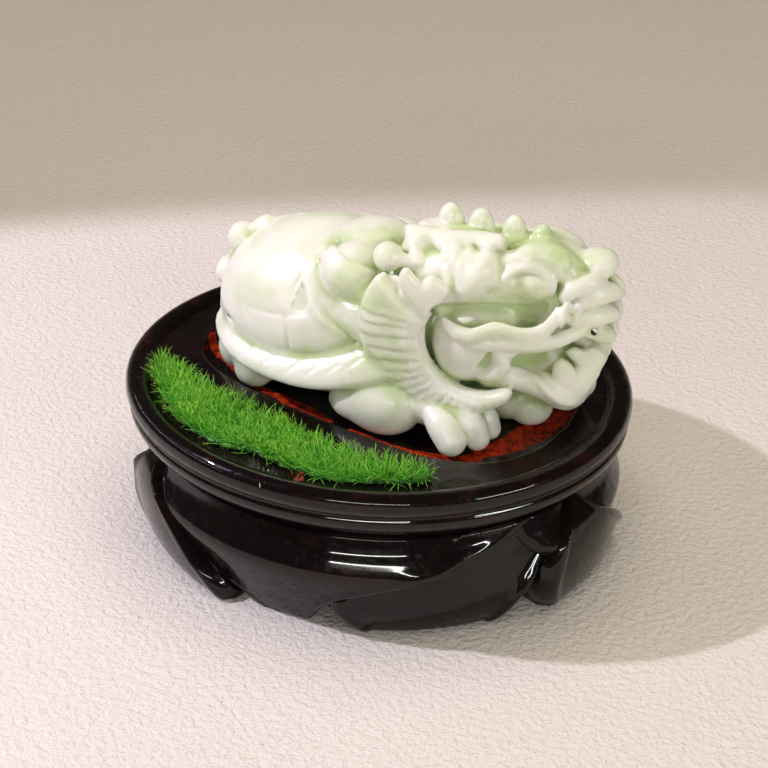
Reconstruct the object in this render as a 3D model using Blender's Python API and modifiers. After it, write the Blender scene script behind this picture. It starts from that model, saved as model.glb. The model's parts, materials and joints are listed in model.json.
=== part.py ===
"""Jade dragon turtle lying in the recess of its oval lacquered stand, with a patch of artificial grass.

World frame in metres: origin on the floor under the middle of the stand, +X along the stand's long axis
toward the animal's head, +Z up. Three pieces are built:

* stand         an oval moulded top on a skirt of carved, swept leaf feet, with an egg-shaped recess
* dragon_turtle one carved stone, standing on its feet on the floor of the recess
* grass_patch   a low crescent of artificial grass lying on the top in front of the recess

The animal is described in units of about a millimetre, shares of its own length, in two frames: the
body frame, whose zero height is the recess floor, and the head frame, which is the body frame moved to
the neck and yawed a little toward +Y.
"""
import math

import bmesh
import bpy
from mathutils import Euler, Matrix, Vector

MM = 0.001

# Stand
STAND_LENGTH = 0.122
STAND_WIDTH = 0.110
STAND_HEIGHT = 0.040
RIM_DEPTH = 0.0154
LIP_HEIGHT = 0.002
RECESS_DEPTH = 0.003
SKIRT_OVERLAP = 0.0014
SKIRT_INNER = 0.76
ARCH_HEIGHT = 0.0095
RIM_STEPS = 40
TOP_PLANE = STAND_HEIGHT - LIP_HEIGHT
SKIRT_TOP = STAND_HEIGHT - RIM_DEPTH + SKIRT_OVERLAP

# Carving
CARVING_LENGTH = 0.1007
TOUCH_GAP = 0.0003
HEAD_YAW = math.radians(10.0)
FAR_SIDE_DROP = 0.22
FAR_SIDE_REACH = 0.90
FAN_RIBS = 17
NECK = Vector((14.0, 0.0, 0.0))
DRAWN_LENGTH = 100.7
UNIT = CARVING_LENGTH / DRAWN_LENGTH
SEAT = TOP_PLANE - RECESS_DEPTH + TOUCH_GAP

# Grass
GRASS_HEIGHT = 0.0036
GRASS_SECTION = 6

# Fineness of the fused pieces
CARVING_VOXEL = 0.85 * UNIT
CARVING_SHARE = 0.076
SKIRT_VOXEL = 0.0010
SKIRT_SHARE = 0.030

# Rim section of the stand, from the middle of the top down to the underside: share of the oval and
# share of the rim's depth below its highest ridge. The flat of the top comes from LIP_HEIGHT.
RIM_PROFILE = (
    (0.916, 0.065), (0.932, 0.019), (0.958, 0.0), (0.982, 0.032), (0.997, 0.110), (1.0, 0.221),
    (0.990, 0.305), (0.983, 0.364), (0.991, 0.442), (0.984, 0.552), (0.964, 0.636), (0.932, 0.675),
    (0.902, 0.766), (0.884, 0.896), (0.880, 1.0),
)
LIP_FOOT = 0.906

# Edge of the recess in units of the carving, near half from the tail round to the head
RECESS_EDGE = (
    (-46.0, 0.0), (-43.4, -7.6), (-36.6, -13.6), (-28.0, -17.2), (-16.0, -20.4), (0.8, -23.6),
    (14.0, -25.6), (24.0, -26.6), (33.0, -25.2), (41.0, -20.8), (46.4, -12.0), (48.4, 0.0),
)

# Grass patch: centre x, centre y and half width in millimetres on a stand of the drawn size, and the
# share of the height
DRAWN_STAND = (0.122, 0.110)
GRASS_STATIONS = (
    (-49.6, -17.6, 0.8, 0.30), (-47.2, -19.2, 2.4, 0.75), (-43.5, -21.8, 4.8, 1.0),
    (-36.3, -26.5, 7.4, 1.0), (-27.5, -31.0, 9.6, 1.0), (-17.5, -34.8, 10.4, 1.0),
    (-6.5, -36.0, 9.0, 1.0), (5.0, -39.0, 8.0, 1.0), (14.0, -38.4, 7.2, 1.0),
    (23.0, -37.0, 5.4, 0.95), (29.4, -35.8, 3.1, 0.75), (32.2, -35.4, 0.8, 0.30),
)

# One cluster of the skirt is an apron, a long leaf sweeping left and a short upright leaf. Each row is
# height in parts of DRAWN_SKIRT, left edge and right edge in degrees round the oval, and the reach as
# a share of the oval.
DRAWN_SKIRT = 26.0
APRON = (
    (-1.5, -93.0, -83.0, 0.855), (1.5, -97.0, -81.5, 0.872), (4.5, -103.0, -79.0, 0.892),
    (7.5, -112.0, -75.5, 0.912), (10.5, -127.0, -69.5, 0.932), (13.5, -138.0, -61.5, 0.950),
    (16.0, -142.0, -54.0, 0.962), (18.0, -145.0, -48.0, 0.962), (20.5, -147.0, -41.0, 0.940),
    (23.0, -149.0, -29.0, 0.914), (26.0, -150.0, -20.0, 0.892),
)
LONG_LEAF = (
    (-1.5, -69.0, -36.0, 0.868), (1.5, -72.0, -32.0, 0.892), (4.0, -75.0, -30.0, 0.912),
    (7.0, -77.0, -27.5, 0.926), (10.0, -76.0, -24.0, 0.926), (13.0, -72.0, -21.0, 0.912),
    (16.0, -66.0, -18.0, 0.900), (19.0, -60.0, -14.0, 0.896), (22.0, -54.0, -10.0, 0.892),
    (26.0, -48.0, -6.0, 0.886),
)
SHORT_LEAF = (
    (-1.5, -21.0, 21.0, 0.920), (1.5, -22.5, 21.0, 0.940), (4.0, -24.0, 20.0, 0.958),
    (7.0, -25.0, 17.5, 0.972), (10.0, -25.0, 13.5, 0.982), (13.0, -24.0, 9.5, 0.986),
    (16.0, -22.5, 5.0, 0.986), (19.0, -20.5, 0.5, 0.978), (22.0, -17.5, -5.0, 0.956),
    (26.0, -13.0, -9.0, 0.900),
)
CLUSTER_TURNS = (0.0, -124.0, 118.0)


def clear_scene():
    """Remove every object of the start-up file."""
    for thing in list(bpy.data.objects):
        bpy.data.objects.remove(thing, do_unlink=True)


def add(thing, name, kind, **values):
    """Add a modifier and set its values."""
    made = thing.modifiers.new(name, kind)
    for key, value in values.items():
        setattr(made, key, value)
    return made


def collection(name):
    """Make a collection in the scene."""
    group = bpy.data.collections.new(name)
    bpy.context.scene.collection.children.link(group)
    return group


def finish(name, colour, roughness, coat=0.0):
    """Make a Principled material for one piece."""
    made = bpy.data.materials.new(name)
    made.use_nodes = True
    shader = made.node_tree.nodes["Principled BSDF"]
    shader.inputs["Base Color"].default_value = (*colour, 1.0)
    shader.inputs["Roughness"].default_value = roughness
    shader.inputs["Coat Weight"].default_value = coat
    return made


def place(name, mesh_source, group, material=None):
    """Turn a bmesh into a named object of a collection."""
    bmesh.ops.recalc_face_normals(mesh_source, faces=mesh_source.faces)
    mesh = bpy.data.meshes.new(name)
    mesh_source.to_mesh(mesh)
    mesh_source.free()
    if material is not None:
        mesh.materials.append(material)
    made = bpy.data.objects.new(name, mesh)
    group.objects.link(made)
    return made


def as_cutter(thing):
    """Keep a helper out of the finished object."""
    thing.hide_render = True
    thing.display_type = "WIRE"
    return thing


def skin(mesh, rings):
    """Cover a list of equal rings of points with quads and close both ends."""
    loops = [[mesh.verts.new(point) for point in ring] for ring in rings]
    count = len(loops[0])
    for low, high in zip(loops, loops[1:]):
        for index in range(count):
            after = (index + 1) % count
            mesh.faces.new((low[index], low[after], high[after], high[index]))
    mesh.faces.new(list(reversed(loops[0])))
    mesh.faces.new(loops[-1])


def spline(rows, steps):
    """Run a smooth curve through rows of numbers, with a number of steps between neighbours."""
    rows = [Vector(row) for row in rows]
    if len(rows) == 2:
        return [rows[0].lerp(rows[1], step / steps) for step in range(steps + 1)]
    padded = [rows[0] * 2.0 - rows[1]] + rows + [rows[-1] * 2.0 - rows[-2]]
    out = []
    for before, start, end, after in zip(padded, padded[1:], padded[2:], padded[3:]):
        for step in range(steps):
            t = step / steps
            out.append(0.5 * (2.0 * start + (end - before) * t
                              + (2.0 * before - 5.0 * start + 4.0 * end - after) * t * t
                              + (3.0 * start - before - 3.0 * end + after) * t * t * t))
    out.append(rows[-1])
    return out


class Clay:
    """A heap of overlapping forms, given in units of the carving."""

    def __init__(self, frame):
        self.mesh = bmesh.new()
        self.frame = frame
        self.far = Matrix.Scale(-1.0, 4, Vector((0.0, 1.0, 0.0)))

    def sides(self, both):
        """Give the frame once, or once for the near side and once for the far side."""
        return [self.frame, self.frame @ self.far] if both else [self.frame]

    def egg(self, centre, radii, turn=(0.0, 0.0, 0.0), both=False, fine=3):
        """Add an ellipsoid; turn is given in degrees about X, Y and Z."""
        spin = Euler([math.radians(angle) for angle in turn]).to_matrix().to_4x4()
        size = Matrix.Diagonal((radii[0], radii[1], radii[2], 1.0))
        for frame in self.sides(both):
            bmesh.ops.create_icosphere(self.mesh, subdivisions=fine, radius=1.0,
                                       matrix=frame @ Matrix.Translation(centre) @ spin @ size)

    def rope(self, rows, flat=1.0, out=(0.0, -1.0, 0.0), both=False, steps=5, section=10):
        """Sweep a rounded section along rows of x, y, z and half width.

        flat is the thickness along the out direction as a share of the half width.
        """
        path = spline([(*row[:3], row[3]) for row in rows], steps)
        points = [Vector(row[:3]) for row in path]
        for frame in self.sides(both):
            rings = []
            last = len(points) - 1
            for index, point in enumerate(points):
                ahead = points[min(index + 1, last)] - points[max(index - 1, 0)]
                ahead.normalize()
                thick = Vector(out) - ahead * ahead.dot(Vector(out))
                thick.normalize()
                wide = ahead.cross(thick)
                reach = max(path[index][3], 0.15)
                caps = [(0.0, 1.0)]
                if index == 0:
                    caps = [(-0.95, 0.25), (-0.72, 0.68), (0.0, 1.0)]
                elif index == last:
                    caps = [(0.0, 1.0), (0.72, 0.68), (0.95, 0.25)]
                for slide, share in caps:
                    middle = point + ahead * slide * reach * min(1.0, flat + 0.2)
                    ring = []
                    for corner in range(section):
                        angle = 2.0 * math.pi * corner / section
                        offset = (wide * math.cos(angle) + thick * flat * math.sin(angle)) * reach * share
                        ring.append(frame @ (middle + offset))
                    rings.append(ring)
            skin(self.mesh, rings)

    def box(self, low, high):
        """Add a block between two corners."""
        low = Vector(low)
        high = Vector(high)
        size = Matrix.Diagonal((*(high - low), 1.0))
        bmesh.ops.create_cube(self.mesh, size=1.0,
                              matrix=self.frame @ Matrix.Translation((low + high) / 2.0) @ size)


def body_frame():
    """Body frame: units of the carving above the recess floor."""
    return Matrix.Translation((0.0, 0.0, SEAT)) @ Matrix.Scale(UNIT, 4)


def far_head():
    """Far half of the head: a mirror image, a little flatter and lower on the rounded stone."""
    return Matrix(((1.0, 0.0, 0.0, 0.0), (0.0, -FAR_SIDE_REACH, 0.0, 0.0),
                   (0.0, FAR_SIDE_DROP, 1.0, 0.0), (0.0, 0.0, 0.0, 1.0)))


def head_frame():
    """Head frame: the body frame moved to the neck and yawed."""
    return body_frame() @ Matrix.Translation(NECK) @ Matrix.Rotation(HEAD_YAW, 4, "Z")


def fan_line(share):
    """Middle and half width of the cheek fan, along the head's side plane, at a share of its sweep."""
    angle = math.radians(128.0 + 178.0 * share)
    ray = (math.cos(angle), math.sin(angle))
    reach = []
    for centre, radius in (((17.0, 29.0), 13.2), ((9.5, 29.5), 19.8)):
        gap = (13.2 - centre[0], 29.2 - centre[1])
        along = gap[0] * ray[0] + gap[1] * ray[1]
        inside = radius ** 2 - gap[0] ** 2 - gap[1] ** 2 + along ** 2
        reach.append(math.sqrt(inside) - along)
    inner, outer = reach
    middle = (inner + outer) / 2.0
    return (13.2 + ray[0] * middle, 29.2 + ray[1] * middle), ray, (outer - inner) / 2.0


def carve_body(clay):
    """Shell, belly, frill, tail and legs."""
    clay.egg((-11.4, 0.0, 20.0), (30.4, 21.5, 21.2), (0.0, -5.0, 0.0), fine=4)
    clay.egg((-7.0, 0.0, 10.5), (31.0, 15.0, 11.0))
    clay.egg((7.0, 0.0, 26.0), (15.0, 16.0, 16.5))
    clay.egg((8.0, 0.0, 14.0), (18.0, 14.0, 13.0))
    frill = ((-40.0, 0.0, 13.0, 3.6), (-37.0, -9.0, 13.4, 3.8), (-29.4, -16.4, 14.0, 4.0),
             (-20.0, -20.2, 13.6, 4.1), (-9.0, -21.6, 13.7, 4.2), (2.0, -21.4, 15.6, 4.2),
             (10.0, -19.2, 18.6, 4.0), (16.0, -15.6, 21.0, 3.2))
    clay.rope(frill, flat=0.55, out=(0.0, -1.0, 0.36), both=True, section=12)
    # tail curling down the back of the shell
    clay.rope(((-23.0, 3.5, 38.6, 1.8), (-30.0, 3.5, 34.6, 2.8), (-36.4, 2.5, 28.6, 3.6),
               (-41.0, 1.5, 20.0, 3.0), (-42.5, 0.5, 11.0, 2.6)), flat=0.9, out=(-1.0, 0.0, 0.4))
    clay.egg((-37.2, 1.8, 29.6), (4.4, 4.2, 5.0), (0.0, 30.0, 0.0))
    clay.egg((-41.2, 0.8, 18.6), (3.4, 4.0, 4.8), (0.0, 15.0, 0.0))
    clay.egg((-30.4, 3.6, 34.8), (4.8, 3.2, 2.4), (0.0, -35.0, 0.0))
    # hind legs
    clay.egg((-25.0, -9.5, 9.5), (10.0, 7.0, 8.5), both=True)
    clay.egg((-27.5, -11.2, 4.0), (5.4, 4.4, 5.0), both=True)
    clay.egg((-36.0, -5.0, 5.2), (5.0, 4.8, 5.6), both=True)
    # fore legs, near one bent with its foot forward
    clay.egg((9.5, -15.0, 7.4), (10.0, 6.8, 7.6), (0.0, 0.0, -8.0), both=True)
    clay.rope(((9.0, -16.5, 7.2, 6.2), (3.0, -17.2, 6.2, 4.8), (0.4, -17.6, 5.6, 3.0)), both=True)
    clay.rope(((12.0, -14.0, 8.0, 5.2), (19.0, -14.8, 8.2, 5.2), (24.0, -14.8, 6.6, 5.2)))
    clay.rope(((19.5, -18.0, 8.4, 3.8), (23.6, -19.4, 6.8, 4.3), (26.6, -20.0, 3.6, 3.8)))
    clay.rope(((24.0, -15.0, 9.6, 3.2), (30.0, -15.6, 6.8, 3.5), (31.6, -15.9, 3.0, 3.2)))
    clay.rope(((26.0, -11.0, 9.6, 3.0), (31.6, -11.0, 6.4, 3.2), (32.6, -10.4, 2.8, 2.9)))
    clay.egg((32.0, 4.6, 6.0), (10.6, 8.4, 7.6), (0.0, 0.0, 14.0))
    clay.egg((38.4, 2.2, 4.2), (5.4, 5.2, 5.0))
    clay.egg((28.0, 12.0, 5.0), (8.0, 5.4, 6.0))
    # cloth-like lobes and the round boss on the back
    clay.egg((0.5, -2.5, 41.6), (8.2, 7.4, 3.0), (0.0, -8.0, 0.0))
    clay.egg((3.4, -12.6, 33.6), (7.2, 7.2, 8.4), (-28.0, 0.0, 0.0), both=True)
    clay.rope(((-4.6, -8.0, 40.2, 1.6), (-7.0, -13.0, 37.4, 1.9), (-8.6, -16.4, 34.2, 2.0),
               (-6.6, -19.2, 29.6, 2.0), (-4.2, -20.4, 25.0, 2.2)), flat=0.55, both=True)
    clay.rope(((-8.6, -16.6, 34.0, 1.8), (-11.0, -18.8, 29.4, 1.2)), flat=0.55, both=True)


def carve_fan(clay, frame, begin):
    """Cheek fan of one side: a crescent plate with raised ribs, from a share of its sweep onward."""
    rings = []
    for step in range(13):
        (x, z), ray, half = fan_line(begin + (1.0 - begin) * step / 12.0)
        depth = -17.2 + 0.05 * (29.0 - z)
        ring = []
        for corner in range(14):
            angle = 2.0 * math.pi * corner / 14.0
            along = math.copysign(abs(math.cos(angle)) ** 0.7, math.cos(angle)) * (half + 0.7)
            thick = math.sin(angle) * 2.9 * min(1.0, 0.35 + half / 5.0)
            ring.append(frame @ Vector((x + ray[0] * along, depth + thick, z + ray[1] * along)))
        rings.append(ring)
    skin(clay.mesh, rings)
    keep = clay.frame
    clay.frame = frame
    for rib in range(FAN_RIBS):
        share = 0.13 + 0.80 * rib / (FAN_RIBS - 1)
        if share < begin + 0.05:
            continue
        (x, z), ray, half = fan_line(share)
        y = -17.2 + 0.05 * (29.0 - z) - 2.6 * min(1.0, 0.35 + half / 5.0)
        start = (x - ray[0] * half * 0.72, y, z - ray[1] * half * 0.72, 0.6)
        middle = (x, y - 0.1, z, 0.72)
        end = (x + ray[0] * half * 0.78, y + 0.3, z + ray[1] * half * 0.78, 0.6)
        clay.rope((start, middle, end), steps=2, section=6)
    clay.frame = keep


def carve_head(clay):
    """Skull, brows, nose, jaws, crest and cheek fans."""
    clay.egg((12.5, 0.0, 31.0), (17.0, 13.0, 13.6))
    clay.egg((27.5, 0.0, 32.0), (12.5, 9.6, 9.2))
    clay.egg((14.6, -7.6, 24.4), (11.2, 10.0, 11.0), both=True)
    clay.egg((20.0, 0.0, 18.0), (13.0, 11.5, 10.0))
    # crest with its four horns and hanging locks
    clay.egg((10.0, -0.6, 40.4), (16.5, 8.6, 4.4))
    clay.egg((5.0, -9.0, 36.0), (11.0, 6.0, 6.0), both=True)
    for x, top, lean in ((4.0, 50.6, -2.0), (11.3, 50.4, 0.0), (18.7, 49.8, 4.0), (25.0, 48.0, 36.0)):
        clay.egg((x, -0.2, top - 3.4), (2.5, 2.4, 3.4), (0.0, lean, 0.0), fine=2)
    for x, z in ((4.4, 42.8), (12.8, 43.0), (20.0, 42.8)):
        clay.egg((x, -5.6, z), (4.2, 3.9, 2.3), (-22.0, 0.0, 0.0), both=True, fine=2)
    clay.egg((-6.6, -12.4, 42.4), (3.3, 3.3, 3.5), both=True)
    clay.rope(((-3.4, -12.6, 42.2, 1.6), (0.0, -11.6, 40.6, 1.6)), both=True)
    clay.egg((-3.4, -5.4, 43.8), (2.4, 2.4, 2.6), both=True, fine=2)
    clay.rope(((-1.6, -13.6, 41.2, 4.0), (1.2, -16.2, 38.0, 4.2), (2.6, -16.8, 34.2, 1.8)), flat=0.6,
              both=True)
    clay.rope(((3.6, -12.4, 42.0, 2.6), (7.4, -14.0, 39.2, 2.8), (10.6, -14.4, 36.2, 2.2)), flat=0.8,
              both=True)
    clay.rope(((17.6, -10.4, 43.8, 2.6), (14.2, -12.8, 40.2, 2.8), (10.9, -14.2, 36.4, 2.2)), flat=0.8,
              both=True)
    # brow, eye and lids
    clay.egg((27.2, 0.0, 39.6), (8.0, 7.4, 6.4), (0.0, 8.0, 0.0))
    clay.rope(((15.0, -8.6, 40.6, 2.2), (20.6, -8.0, 42.8, 2.6), (27.0, -5.6, 43.4, 3.2),
               (32.2, -5.6, 41.0, 3.0), (33.2, -6.8, 37.4, 2.2)), both=True)
    clay.egg((25.4, -8.6, 39.4), (4.4, 3.6, 3.5), both=True)
    clay.rope(((19.6, -10.2, 39.4, 1.3), (21.6, -11.0, 42.2, 1.5), (26.4, -10.8, 43.6, 1.6),
               (30.4, -9.4, 41.6, 1.5), (31.2, -8.8, 38.0, 1.3)), both=True)
    clay.rope(((4.6, -13.6, 36.0, 2.0), (12.0, -13.0, 36.4, 2.0), (20.0, -11.6, 36.8, 1.9),
               (28.6, -9.6, 37.0, 1.7)), both=True)
    # nose and the curls in front of it
    clay.egg((31.5, 0.0, 39.0), (7.0, 5.4, 4.6))
    clay.egg((37.6, 0.0, 40.9), (4.4, 5.2, 3.7))
    clay.egg((34.4, -5.2, 38.2), (3.0, 2.8, 2.9), both=True)
    for x, y, z, size in ((38.6, 3.2, 33.8, 3.6), (39.0, 3.0, 28.6, 3.2), (38.8, 3.6, 33.8, 3.4),
                          (35.6, 7.0, 33.2, 3.0), (36.6, 6.6, 28.2, 2.6)):
        clay.egg((x, -y, z), (size, size * 0.9, size * 0.8), (0.0, -20.0, 0.0), both=True)
    # moustache, upper lip and corner of the mouth
    clay.rope(((6.6, -16.2, 30.6, 1.4), (13.5, -16.4, 29.2, 1.6), (19.7, -14.8, 30.6, 1.7),
               (23.9, -13.8, 30.2, 1.6), (29.0, -11.6, 31.4, 1.7), (32.0, -9.6, 34.8, 1.7),
               (35.4, -7.4, 36.0, 1.4)), both=True)
    clay.rope(((11.0, -15.2, 26.6, 1.8), (17.0, -15.0, 26.8, 2.2), (24.0, -13.4, 26.9, 2.3),
               (31.0, -10.6, 27.4, 2.3), (37.0, -6.6, 27.8, 2.2)), flat=0.9, both=True)
    clay.egg((20.2, -12.4, 20.8), (3.0, 3.0, 2.6), both=True)
    clay.rope(((22.4, -13.0, 23.4, 1.2), (18.4, -14.4, 23.0, 1.4), (16.2, -14.8, 20.6, 1.5),
               (18.6, -14.0, 17.8, 1.6), (23.0, -12.8, 17.4, 1.7)), both=True)
    # lower jaw, chin and the curls rising from it
    clay.rope(((17.0, -11.0, 16.0, 3.4), (24.0, -11.6, 16.2, 3.0), (29.6, -10.6, 14.4, 3.2),
               (33.4, -7.0, 11.4, 4.0), (34.6, 0.0, 10.8, 4.2)), both=True)
    clay.egg((31.0, 0.0, 14.0), (7.0, 8.0, 6.0))
    clay.rope(((35.0, -6.0, 12.4, 3.4), (37.4, -4.8, 17.0, 3.0), (38.0, -3.8, 20.0, 2.4)), both=True)
    clay.rope(((33.0, -8.2, 14.4, 2.0), (33.8, -7.8, 18.2, 1.7), (34.8, -7.0, 20.6, 1.2)), both=True)
    clay.rope(((39.0, -2.8, 28.4, 2.6), (40.0, -2.4, 25.0, 2.2), (38.8, -3.2, 22.4, 2.2),
               (38.0, -3.6, 19.6, 2.2)), both=True)
    carve_fan(clay, clay.frame, 0.0)
    carve_fan(clay, clay.frame @ clay.far, 0.26)


def cut_body(clay):
    """Groove under the shell rim and the lines between its plates; also the flat soles."""
    clay.box((-70.0, -50.0, -12.0), (75.0, 50.0, 0.0))
    clay.rope(((-35.6, -11.0, 19.6, 0.8), (-28.0, -17.6, 18.6, 1.0), (-18.6, -20.9, 17.6, 1.2),
               (-8.0, -22.0, 17.9, 1.2), (0.0, -21.6, 20.0, 1.0), (3.6, -20.4, 22.0, 0.7)), both=True,
              section=8)
    clay.rope(((-25.0, -18.6, 26.0, 0.6), (-14.0, -21.2, 26.6, 0.8), (-4.6, -21.4, 27.6, 0.6)), both=True,
              section=6)
    clay.rope(((-12.6, -21.4, 26.6, 0.7), (-11.8, -22.0, 19.0, 0.8)), both=True, section=6)
    clay.rope(((-7.0, -9.0, 40.8, 0.8), (-9.8, -14.6, 36.4, 1.0), (-11.6, -17.0, 33.0, 0.9),
               (-14.4, -19.6, 28.0, 0.6)), both=True, section=6)
    clay.rope(((-2.8, -18.0, 36.4, 0.6), (-0.2, -20.4, 30.6, 1.0), (4.0, -20.4, 27.0, 0.9),
               (8.0, -19.0, 26.6, 0.6)), both=True, section=6)


def cut_head(clay):
    """Open mouth, trough under the brow, groove inside the fan and the eyelet of the muzzle curls."""
    clay.egg((26.8, -10.6, 22.2), (5.4, 6.2, 2.2), (0.0, 4.0, -16.0), both=True)
    clay.egg((26.4, -10.6, 20.4), (3.4, 5.4, 2.4), (0.0, -16.0, -10.0), both=True)
    clay.rope(((8.6, -17.6, 33.0, 1.2), (15.0, -16.2, 33.0, 1.9), (22.0, -13.8, 33.6, 1.9),
               (28.0, -11.6, 34.6, 1.6)), both=True)
    clay.rope(((17.0, -15.6, 22.4, 0.6), (16.8, -15.8, 20.8, 0.9), (17.6, -15.2, 19.2, 0.6)), both=True,
              section=6)
    clay.rope(((5.6, -18.6, 34.0, 0.8), (4.2, -18.9, 28.4, 1.3), (7.0, -18.6, 21.0, 1.3),
               (13.0, -17.6, 16.2, 1.2), (20.0, -15.4, 14.8, 0.9)), both=True)
    clay.rope(((37.4, -9.0, 23.4, 1.2), (37.4, 0.0, 23.4, 1.2)), both=True, steps=2)


def build_carving(group, cutters, material):
    """Heap up the forms, fuse them and cut the hollows."""
    clay = Clay(body_frame())
    carve_body(clay)
    clay.frame = head_frame()
    clay.far = far_head()
    carve_head(clay)
    carving = place("dragon_turtle", clay.mesh, group, material)
    add(carving, "fuse", "REMESH", mode="VOXEL", voxel_size=CARVING_VOXEL)
    add(carving, "soften", "SMOOTH", factor=0.5, iterations=3)

    tools = Clay(body_frame())
    cut_body(tools)
    tools.frame = head_frame()
    tools.far = far_head()
    cut_head(tools)
    hollow = as_cutter(place("carving_hollows", tools.mesh, cutters))
    add(hollow, "fuse", "REMESH", mode="VOXEL", voxel_size=CARVING_VOXEL * 0.7)
    add(carving, "hollows", "BOOLEAN", operation="DIFFERENCE", solver="EXACT", object=hollow)
    add(carving, "heal", "REMESH", mode="VOXEL", voxel_size=CARVING_VOXEL, use_smooth_shade=True)
    add(carving, "thin", "DECIMATE", ratio=CARVING_SHARE)


def on_oval(angle, share, height):
    """Point of the stand's oval at an angle in degrees, a share of its reach and a height."""
    turn = math.radians(angle)
    return Vector((math.cos(turn) * share * STAND_LENGTH / 2.0,
                   math.sin(turn) * share * STAND_WIDTH / 2.0, height))


def leaf(mesh, rows, turn, columns, crown):
    """Loft one leaf or apron of the skirt between its two edges.

    crown is how far the middle stands out past the edges, as a share of the oval.
    """
    rings = []
    for row, left, right, reach in spline(rows, 2):
        height = row / DRAWN_SKIRT * SKIRT_TOP
        ring = []
        for column in range(columns + 1):
            across = column / columns
            swell = crown * (1.0 - (2.0 * across - 1.0) ** 4)
            ring.append(on_oval(left + (right - left) * across + turn, min(reach + swell, 0.995), height))
        for column in range(columns, -1, -1):
            across = column / columns
            ring.append(on_oval(left + (right - left) * across + turn, SKIRT_INNER, height))
        rings.append(ring)
    skin(mesh, rings)


def backing_ring():
    """Sections of the plain ring behind the leaves, which spans the arches between the feet."""
    low = ARCH_HEIGHT
    top = SKIRT_TOP
    ring_rows = []
    for step in range(72):
        angle = 5.0 * step
        ring_rows.append([on_oval(angle, SKIRT_INNER, low), on_oval(angle, 0.872, low),
                          on_oval(angle, 0.880, top), on_oval(angle, SKIRT_INNER, top)])
    return ring_rows


def build_skirt(cutters):
    """Fuse the leaves and the ring behind them into one skirt, a little taller than its place."""
    mesh = bmesh.new()
    for turn in CLUSTER_TURNS:
        leaf(mesh, LONG_LEAF, turn, 12, 0.012)
        leaf(mesh, APRON, turn, 22, 0.006)
        leaf(mesh, SHORT_LEAF, turn, 10, 0.008)
    loops = [[mesh.verts.new(point) for point in ring] for ring in backing_ring()]
    for index, loop in enumerate(loops):
        after = loops[(index + 1) % len(loops)]
        for corner in range(4):
            nearby = (corner + 1) % 4
            mesh.faces.new((loop[corner], loop[nearby], after[nearby], after[corner]))
    skirt = as_cutter(place("stand_skirt", mesh, cutters))
    add(skirt, "fuse", "REMESH", mode="VOXEL", voxel_size=SKIRT_VOXEL, use_smooth_shade=True)
    add(skirt, "soften", "SMOOTH", factor=0.5, iterations=2)
    add(skirt, "thin", "DECIMATE", ratio=SKIRT_SHARE)
    return skirt


def build_recess(cutters):
    """Block that cuts the egg-shaped recess, from its floor to above the rim."""
    mesh = bmesh.new()
    near = spline([(x, y, 0.0) for x, y in RECESS_EDGE], 4)
    outline = [(point.x, point.y) for point in near]
    outline += [(point.x, -point.y) for point in reversed(near[1:-1])]
    skin(mesh, [[Vector((x * UNIT, y * UNIT, height)) for x, y in outline]
                for height in (TOP_PLANE - RECESS_DEPTH, STAND_HEIGHT * 1.2)])
    return as_cutter(place("recess_cut", mesh, cutters))


def build_floor(cutters):
    """Block that trims the feet flat on the floor."""
    mesh = bmesh.new()
    size = Matrix.Diagonal((STAND_LENGTH * 1.2, STAND_WIDTH * 1.2, STAND_HEIGHT, 1.0))
    bmesh.ops.create_cube(mesh, size=1.0, matrix=Matrix.Translation((0.0, 0.0, -STAND_HEIGHT / 2.0)) @ size)
    return as_cutter(place("floor_trim", mesh, cutters))


def build_stand(group, cutters, material):
    """Moulded oval top, turned and flattened into the oval, with its skirt and its recess."""
    profile = bmesh.new()
    section = [(0.0, TOP_PLANE), (LIP_FOOT, TOP_PLANE)]
    section += [(share, STAND_HEIGHT - drop * RIM_DEPTH) for share, drop in RIM_PROFILE]
    section.append((0.0, STAND_HEIGHT - RIM_DEPTH))
    line = [profile.verts.new((share * STAND_LENGTH / 2.0, 0.0, height)) for share, height in section]
    for high, low in zip(line, line[1:]):
        profile.edges.new((high, low))
    stand = place("stand", profile, group, material)
    stand.scale = (1.0, STAND_WIDTH / STAND_LENGTH, 1.0)
    add(stand, "turned_rim", "SCREW", axis="Z", angle=2.0 * math.pi, steps=RIM_STEPS,
        render_steps=RIM_STEPS, use_merge_vertices=True, merge_threshold=0.00005)
    for name, operation, other in (("skirt", "UNION", build_skirt(cutters)),
                                   ("floor", "DIFFERENCE", build_floor(cutters)),
                                   ("recess", "DIFFERENCE", build_recess(cutters))):
        add(stand, name, "BOOLEAN", operation=operation, solver="EXACT", object=other)


def build_grass(group, material):
    """Low crescent pad with a flat underside."""
    mesh = bmesh.new()
    base = TOP_PLANE + TOUCH_GAP
    path = spline([(x, y, half, share) for x, y, half, share in GRASS_STATIONS], 3)
    rings = []
    last = len(path) - 1
    for index, (x, y, half, share) in enumerate(path):
        ahead = Vector(path[min(index + 1, last)][:2]) - Vector(path[max(index - 1, 0)][:2])
        ahead.normalize()
        across = Vector((ahead.y, -ahead.x))
        ring = []
        for corner in range(GRASS_SECTION + 1):
            angle = math.pi * corner / GRASS_SECTION
            side = math.copysign(abs(math.cos(angle)) ** 0.6, math.cos(angle)) * half
            rise = math.sin(angle) ** 0.6 * GRASS_HEIGHT * share
            ring.append(Vector(((x + across.x * side) * MM * STAND_LENGTH / DRAWN_STAND[0],
                                (y + across.y * side) * MM * STAND_WIDTH / DRAWN_STAND[1], base + rise)))
        rings.append(ring)
    skin(mesh, rings)
    place("grass_patch", mesh, group, material).data.shade_smooth()


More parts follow.
